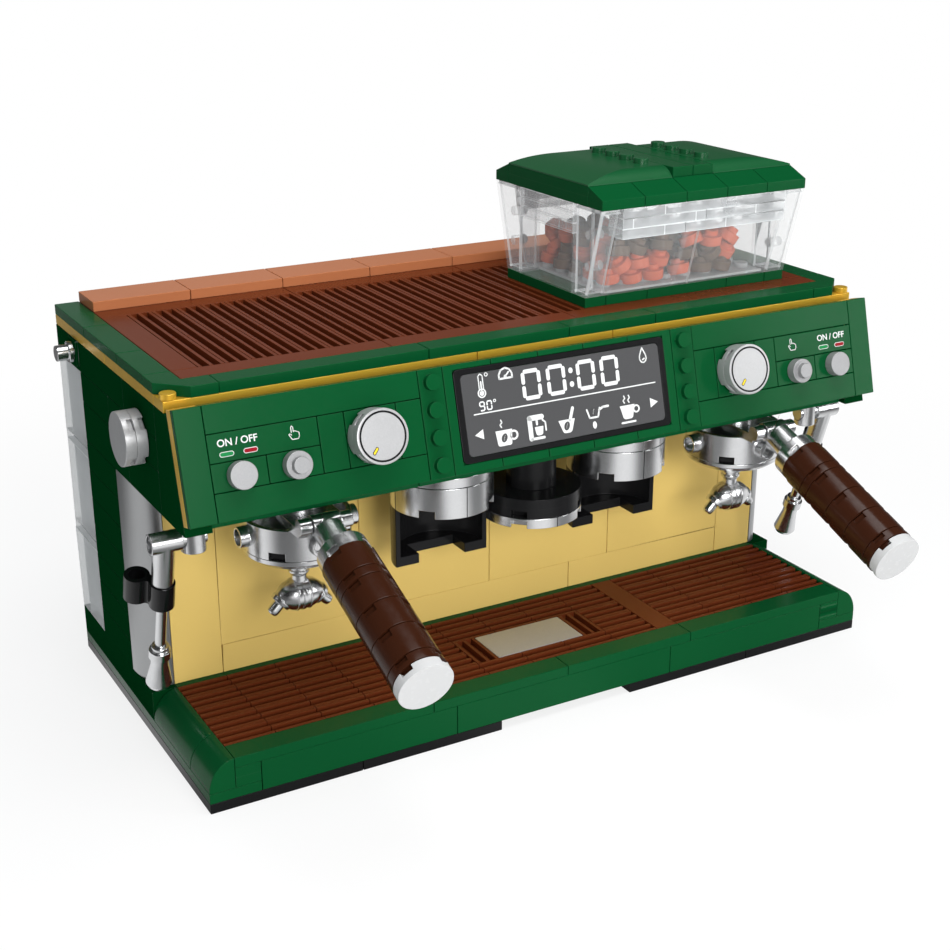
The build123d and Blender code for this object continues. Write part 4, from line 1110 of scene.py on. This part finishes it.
pictures += [vessel(-22.6, 23.6, 5.6, 4.6, 4.6, glass), hoop(-19.4, 23.2, 0.9, 1.5, glass)]
pictures += steam(-23.2, 20.4) + printed_bean(-22.6, 23.6)
pictures += [stroke(-13.6, 19.4, -13.6, 25.4, 1.5, glass), stroke(-13.6, 19.4, -9.4, 19.4, 1.6, glass)]
pictures += [stroke(-13.6, 25.6, -9.2, 25.6, 0.8, glass), vessel(-10.6, 23.5, 2.9, 2.2, 2.6, glass)]
pictures += trace([(-9.2, 20.4), (-8.3, 21.2), (-8.3, 23.6)], 0.5, glass)
pictures += [stroke(-11.2, 20.2, -11.2, 21.4, 0.7, glass)]
pictures += [vessel(-0.9, 23.7, 5.8, 2.8, 4.0, glass), stroke(0.3, 22.0, 1.6, 18.6, 1.0, glass)]
pictures += printed_bean(-1.0, 23.6)
pictures += trace([(6.5, 20.0), (7.3, 22.6), (10.3, 22.6), (11.1, 20.0)], 0.55, glass)
pictures += trace([(10.9, 20.6), (12.3, 19.9), (14.2, 19.9)], 0.7, glass)
pictures += [spot(8.8, 24.9, 0.7, 1.1, glass)]
pictures += printed_bean(8.8, 20.8)
pictures += [vessel(21.1, 22.9, 5.4, 3.2, 4.2, glass), hoop(24.3, 22.3, 0.75, 1.25, glass)]
pictures += [stroke(18.7, 26.0, 23.5, 26.0, 0.6, glass)] + steam(20.2, 20.0) + steam(21.9, 20.0)
dress(joined(pictures, "display_pictures"), "print_white", "machine")
dress(joined(beans, "display_beans"), "screen_grey", "machine")

# %% [markdown]
# The hopper's corners are hollow clear bricks with a slanted front. A box gets the slant by moving one edge
# of its floor, and a Solidify modifier makes it a shell. Two clear pins stick into each one from the side.

# %% hopper corners
stud_pitch = 8 * mm
hopper_left, hopper_right, hopper_front = 24 * mm, 104 * mm, -28 * mm
hopper_floor, hopper_top = 124.8 * mm, 153.6 * mm
hopper_x, hopper_y = 64 * mm, -4 * mm
half_turn = Matrix.Translation((hopper_x, hopper_y, 0)) @ Matrix.Rotation(
    math.pi, 4, "Z") @ Matrix.Translation((-hopper_x, -hopper_y, 0))
pin_radius, pin_length, pin_heights = 1.6 * mm, 5.2 * mm, (134.5 * mm, 144.5 * mm)


def corner_shell(name, x):
    """A hollow corner of the hopper's front, its left side at x."""
    size = (stud_pitch - 0.2 * mm, 2 * stud_pitch, hopper_top - hopper_floor)
    piece = block(name, size, (x + stud_pitch / 2, hopper_front, (hopper_floor + hopper_top) / 2))
    with editing(piece):
        pick("edges", lambda edge: all(
            v.co.y < hopper_front and v.co.z < hopper_floor + mm for v in edge.verts))
        bpy.ops.transform.translate(value=(0, stud_pitch, 0))
    soften(piece, 0.25 * mm, angle=30)
    apply(piece, "SOLIDIFY", thickness=1.3 * mm, offset=-1)
    return piece


def pin(x, y, z):
    """A clear pin along X with rounded ends."""
    middle = (x + pin_length / 2, y, z)
    piece = cylinder("pin", pin_radius, pin_length, middle, (0, math.pi / 2, 0), vertices=24)
    soften(piece, 0.6 * mm, segments=3)
    return piece


corners = []
for x in (hopper_left, hopper_right - stud_pitch):
    model = corner_shell("corner_shell", x)
    pins = [pin(x + 1.6 * mm, hopper_front + 1.5 * mm, z) for z in pin_heights]
    model = joined([model] + pins, "corner_shell")
    corners += [model, copied(model, "corner_shell_back", half_turn)]
dress(joined(corners, "hopper_corners"), "clear", "machine", ["hopper_corner_slopes"])

# %% [markdown]
# Under the lid run three rows of clear plates, and the round tubes inside them show through. On the floor
# of the hopper lie clear plates with studs.

# %% tubes and studs
first_column, columns = 36 * mm, 8
tube_rows, tube_heights = (-32 * mm, 24 * mm), (144.2 * mm, 147.4 * mm, 150.6 * mm)
tube = band("tube", 1.9 * mm, 2.6 * mm, 2.7 * mm)
tubes = [copied(tube, "tube", Matrix.Translation((first_column + i * stud_pitch, y, z)))
         for y in tube_rows for z in tube_heights for i in range(columns)]
bpy.data.objects.remove(tube)
dress(joined(tubes, "header_tubes"), "clear", "machine")

clear("pale_clear", (0.8, 0.82, 0.82), (0.35, 0.6), 0.6, (0.08, 0.15))
stud_radius, stud_height = 2.4 * mm, 1.5 * mm
first_row, rows, sheet_top = -20 * mm, 5, 125.7 * mm
sheet_size = (63.6 * mm, 44.6 * mm, 0.8 * mm)
stud = cylinder("stud", stud_radius, stud_height, (0, 0, stud_height / 2), vertices=24)
soften(stud, 0.2 * mm)
sheet = block("sheet", sheet_size, (hopper_x, hopper_y, sheet_top - sheet_size[2] / 2))
soften(sheet, 0.15 * mm, angle=30)
floor_pieces = [sheet]
for i in range(columns):
    for j in range(rows):
        place = (first_column + i * stud_pitch, first_row + j * stud_pitch, sheet_top)
        floor_pieces.append(copied(stud, "stud", Matrix.Translation(place)))
bpy.data.objects.remove(stud)
dress(joined(floor_pieces, "bin_floor"), "pale_clear", "machine")

# %% [markdown]
# The beans are one-stud round plates in two colours, tipped in at random. One is modelled, and copies fill
# both bins layer by layer, each with its own small shift, tilt and turn. The top layer has gaps. A fixed
# seed gives the same heap every time.

# %% beans
shuffle = random.Random(11)
bin_starts, bin_middle, bin_floor_z = (37.2, 65.2), -4, 129.3
layers, bean_columns, bean_rows = 3, 3, 5
column_step, row_step, layer_step = 8.3, 8.5, 4.5
layer_shift, odd_layer_shift, row_spread = 1.1, 1.2, 0.35
wobble, rise = 0.7, 0.5
gap_share, orange_share = 0.25, 0.58
least_tip, most_tip, floor_tip_share = 5, 42, 0.4
whole_turn = 6.28


def bean_model():
    """A round plate with a stud, around the origin."""
    piece = cylinder("bean", 3.85 * mm, plate_height, (0, 0, -0.9 * mm), vertices=20)
    with editing(piece):
        pick("faces", facing_up)
        bpy.ops.mesh.inset(thickness=1.45 * mm)
        push((0, 0, 1.8 * mm))
    soften(piece, 0.2 * mm, segments=1)
    return piece


def bean_place(first_x, layer, i, j):
    """A random place and tilt near the bean's own spot in its layer."""
    x = first_x + column_step * i + layer_shift * layer + (layer % 2) * odd_layer_shift
    x += shuffle.uniform(-wobble, wobble)
    y = bin_middle + (j - 2) * (row_step + row_spread * layer) + shuffle.uniform(-wobble, wobble)
    z = bin_floor_z + layer_step * layer + shuffle.uniform(-rise, rise)
    tip = shuffle.choice((-1, 1)) * shuffle.uniform(least_tip, most_tip)
    tip *= floor_tip_share if layer == 0 else 1
    turn = Matrix.Rotation(shuffle.uniform(0, whole_turn), 4, "Z")
    tilt = Matrix.Rotation(math.radians(tip), 4, "X")
    return Matrix.Translation((x * mm, y * mm, z * mm)) @ turn @ tilt


bean = bean_model()
heaps = {"orange": [], "bean_grey": []}
for first_x in bin_starts:
    for layer in range(layers):
        for i in range(bean_columns):
            for j in range(bean_rows):
                if layer == layers - 1 and shuffle.random() < gap_share:
                    continue
                place = bean_place(first_x, layer, i, j)
                colour = "orange" if shuffle.random() < orange_share else "bean_grey"
                heaps[colour].append(copied(bean, "bean", place))
bpy.data.objects.remove(bean)
counts = {colour: len(heap) for colour, heap in heaps.items()}
dress(joined(heaps["orange"], "orange_heap"), "orange", "machine", ["orange_beans"])
dress(joined(heaps["bean_grey"], "dark_heap"), "bean_grey", "machine", ["dark_beans"])
print("beans", counts)

# %% [markdown]
# The lid's top is two shallow vaults beside a flat ridge. Each rises from the outer end and falls off at
# the front and the back, and the two falls meet in a crease. So each vault is a slice of a large cylinder,
# lengthened to the ridge by an extrusion and crossed with a second arch that runs the other way. Half of
# that arch is made and mirrored, and its open middle is left without a wall, because a wall inside would
# spoil the shading.

# %% lid vaults
outer_x, flat_x, ridge_x = 24.1 * mm, 42 * mm, 55.9 * mm
vault_half, eave = 23.9 * mm, 6 * mm
vault_foot, vault_top = 160.0 * mm, 163.2 * mm
long_radius, eave_radius = 59 * mm, 7.2 * mm
arch_length, lid_stud_x, lid_stud_height = 80 * mm, 52 * mm, 2.2 * mm


def sliced(piece, point, normal):
    """Cut away the side of a closed piece that a normal points to."""
    with editing(piece):
        bpy.ops.mesh.select_all(action="SELECT")
        bpy.ops.mesh.bisect(plane_co=point, plane_no=normal, use_fill=True, clear_outer=True)


def lengthened(piece, test, way):
    """Extrude the faces that pass a test."""
    with editing(piece):
        pick("faces", test)
        push(way)


vault = cylinder("vault", long_radius, 2 * vault_half, (flat_x, 0, vault_top - long_radius),
                 (math.radians(90), 0, 0), vertices=256)
sliced(vault, (0, 0, vault_foot), (0, 0, -1))
sliced(vault, (outer_x, 0, 0), (-1, 0, 0))
sliced(vault, (flat_x, 0, 0), (1, 0, 0))
lengthened(vault, lambda face: face.normal.x > 0.99, (ridge_x - flat_x, 0, 0))
arch = cylinder("arch", eave_radius, arch_length, (flat_x, eave - vault_half, vault_top - eave_radius),
                (0, math.radians(90), 0), vertices=256)
sliced(arch, (0, 0, vault_foot - mm), (0, 0, -1))
sliced(arch, (0, eave - vault_half, 0), (0, 1, 0))
lengthened(arch, lambda face: face.normal.y > 0.99, (0, vault_half - eave, 0))
with editing(arch):
    pick("faces", lambda face: face.normal.y > 0.99)
    bpy.ops.mesh.delete(type="ONLY_FACE")
apply(arch, "MIRROR", use_axis=(False, True, False), merge_threshold=0.001 * mm)
outward(arch)
combine(vault, arch, "INTERSECT")
lid_studs = []
for i in range(4):
    place = (lid_stud_x, (i - 1.5) * stud_pitch, vault_top + 0.6 * mm)
    lid_studs.append(cylinder("lid_stud", stud_radius, lid_stud_height, place, vertices=40))
    soften(lid_studs[-1], 0.15 * mm)
vault = settle(joined([vault] + lid_studs, "left_vault"), Matrix.Translation((0, hopper_y, 0)))
outward(vault)
flip = Matrix.Translation((2 * hopper_x, 0, 0)) @ Matrix.Scale(-1, 4, (1, 0, 0))
twin = copied(vault, "right_vault", flip)
outward(twin)
vaults = joined([vault, twin], "lid_vaults")
# The vaults take the lighter green, which is painted light.
dress(vaults, "lit_lid_green", "hopper_lid", ["lid_domes"], sharp=2)
print("lid vaults in mm", [round(v / mm, 1) for v in vaults.dimensions])
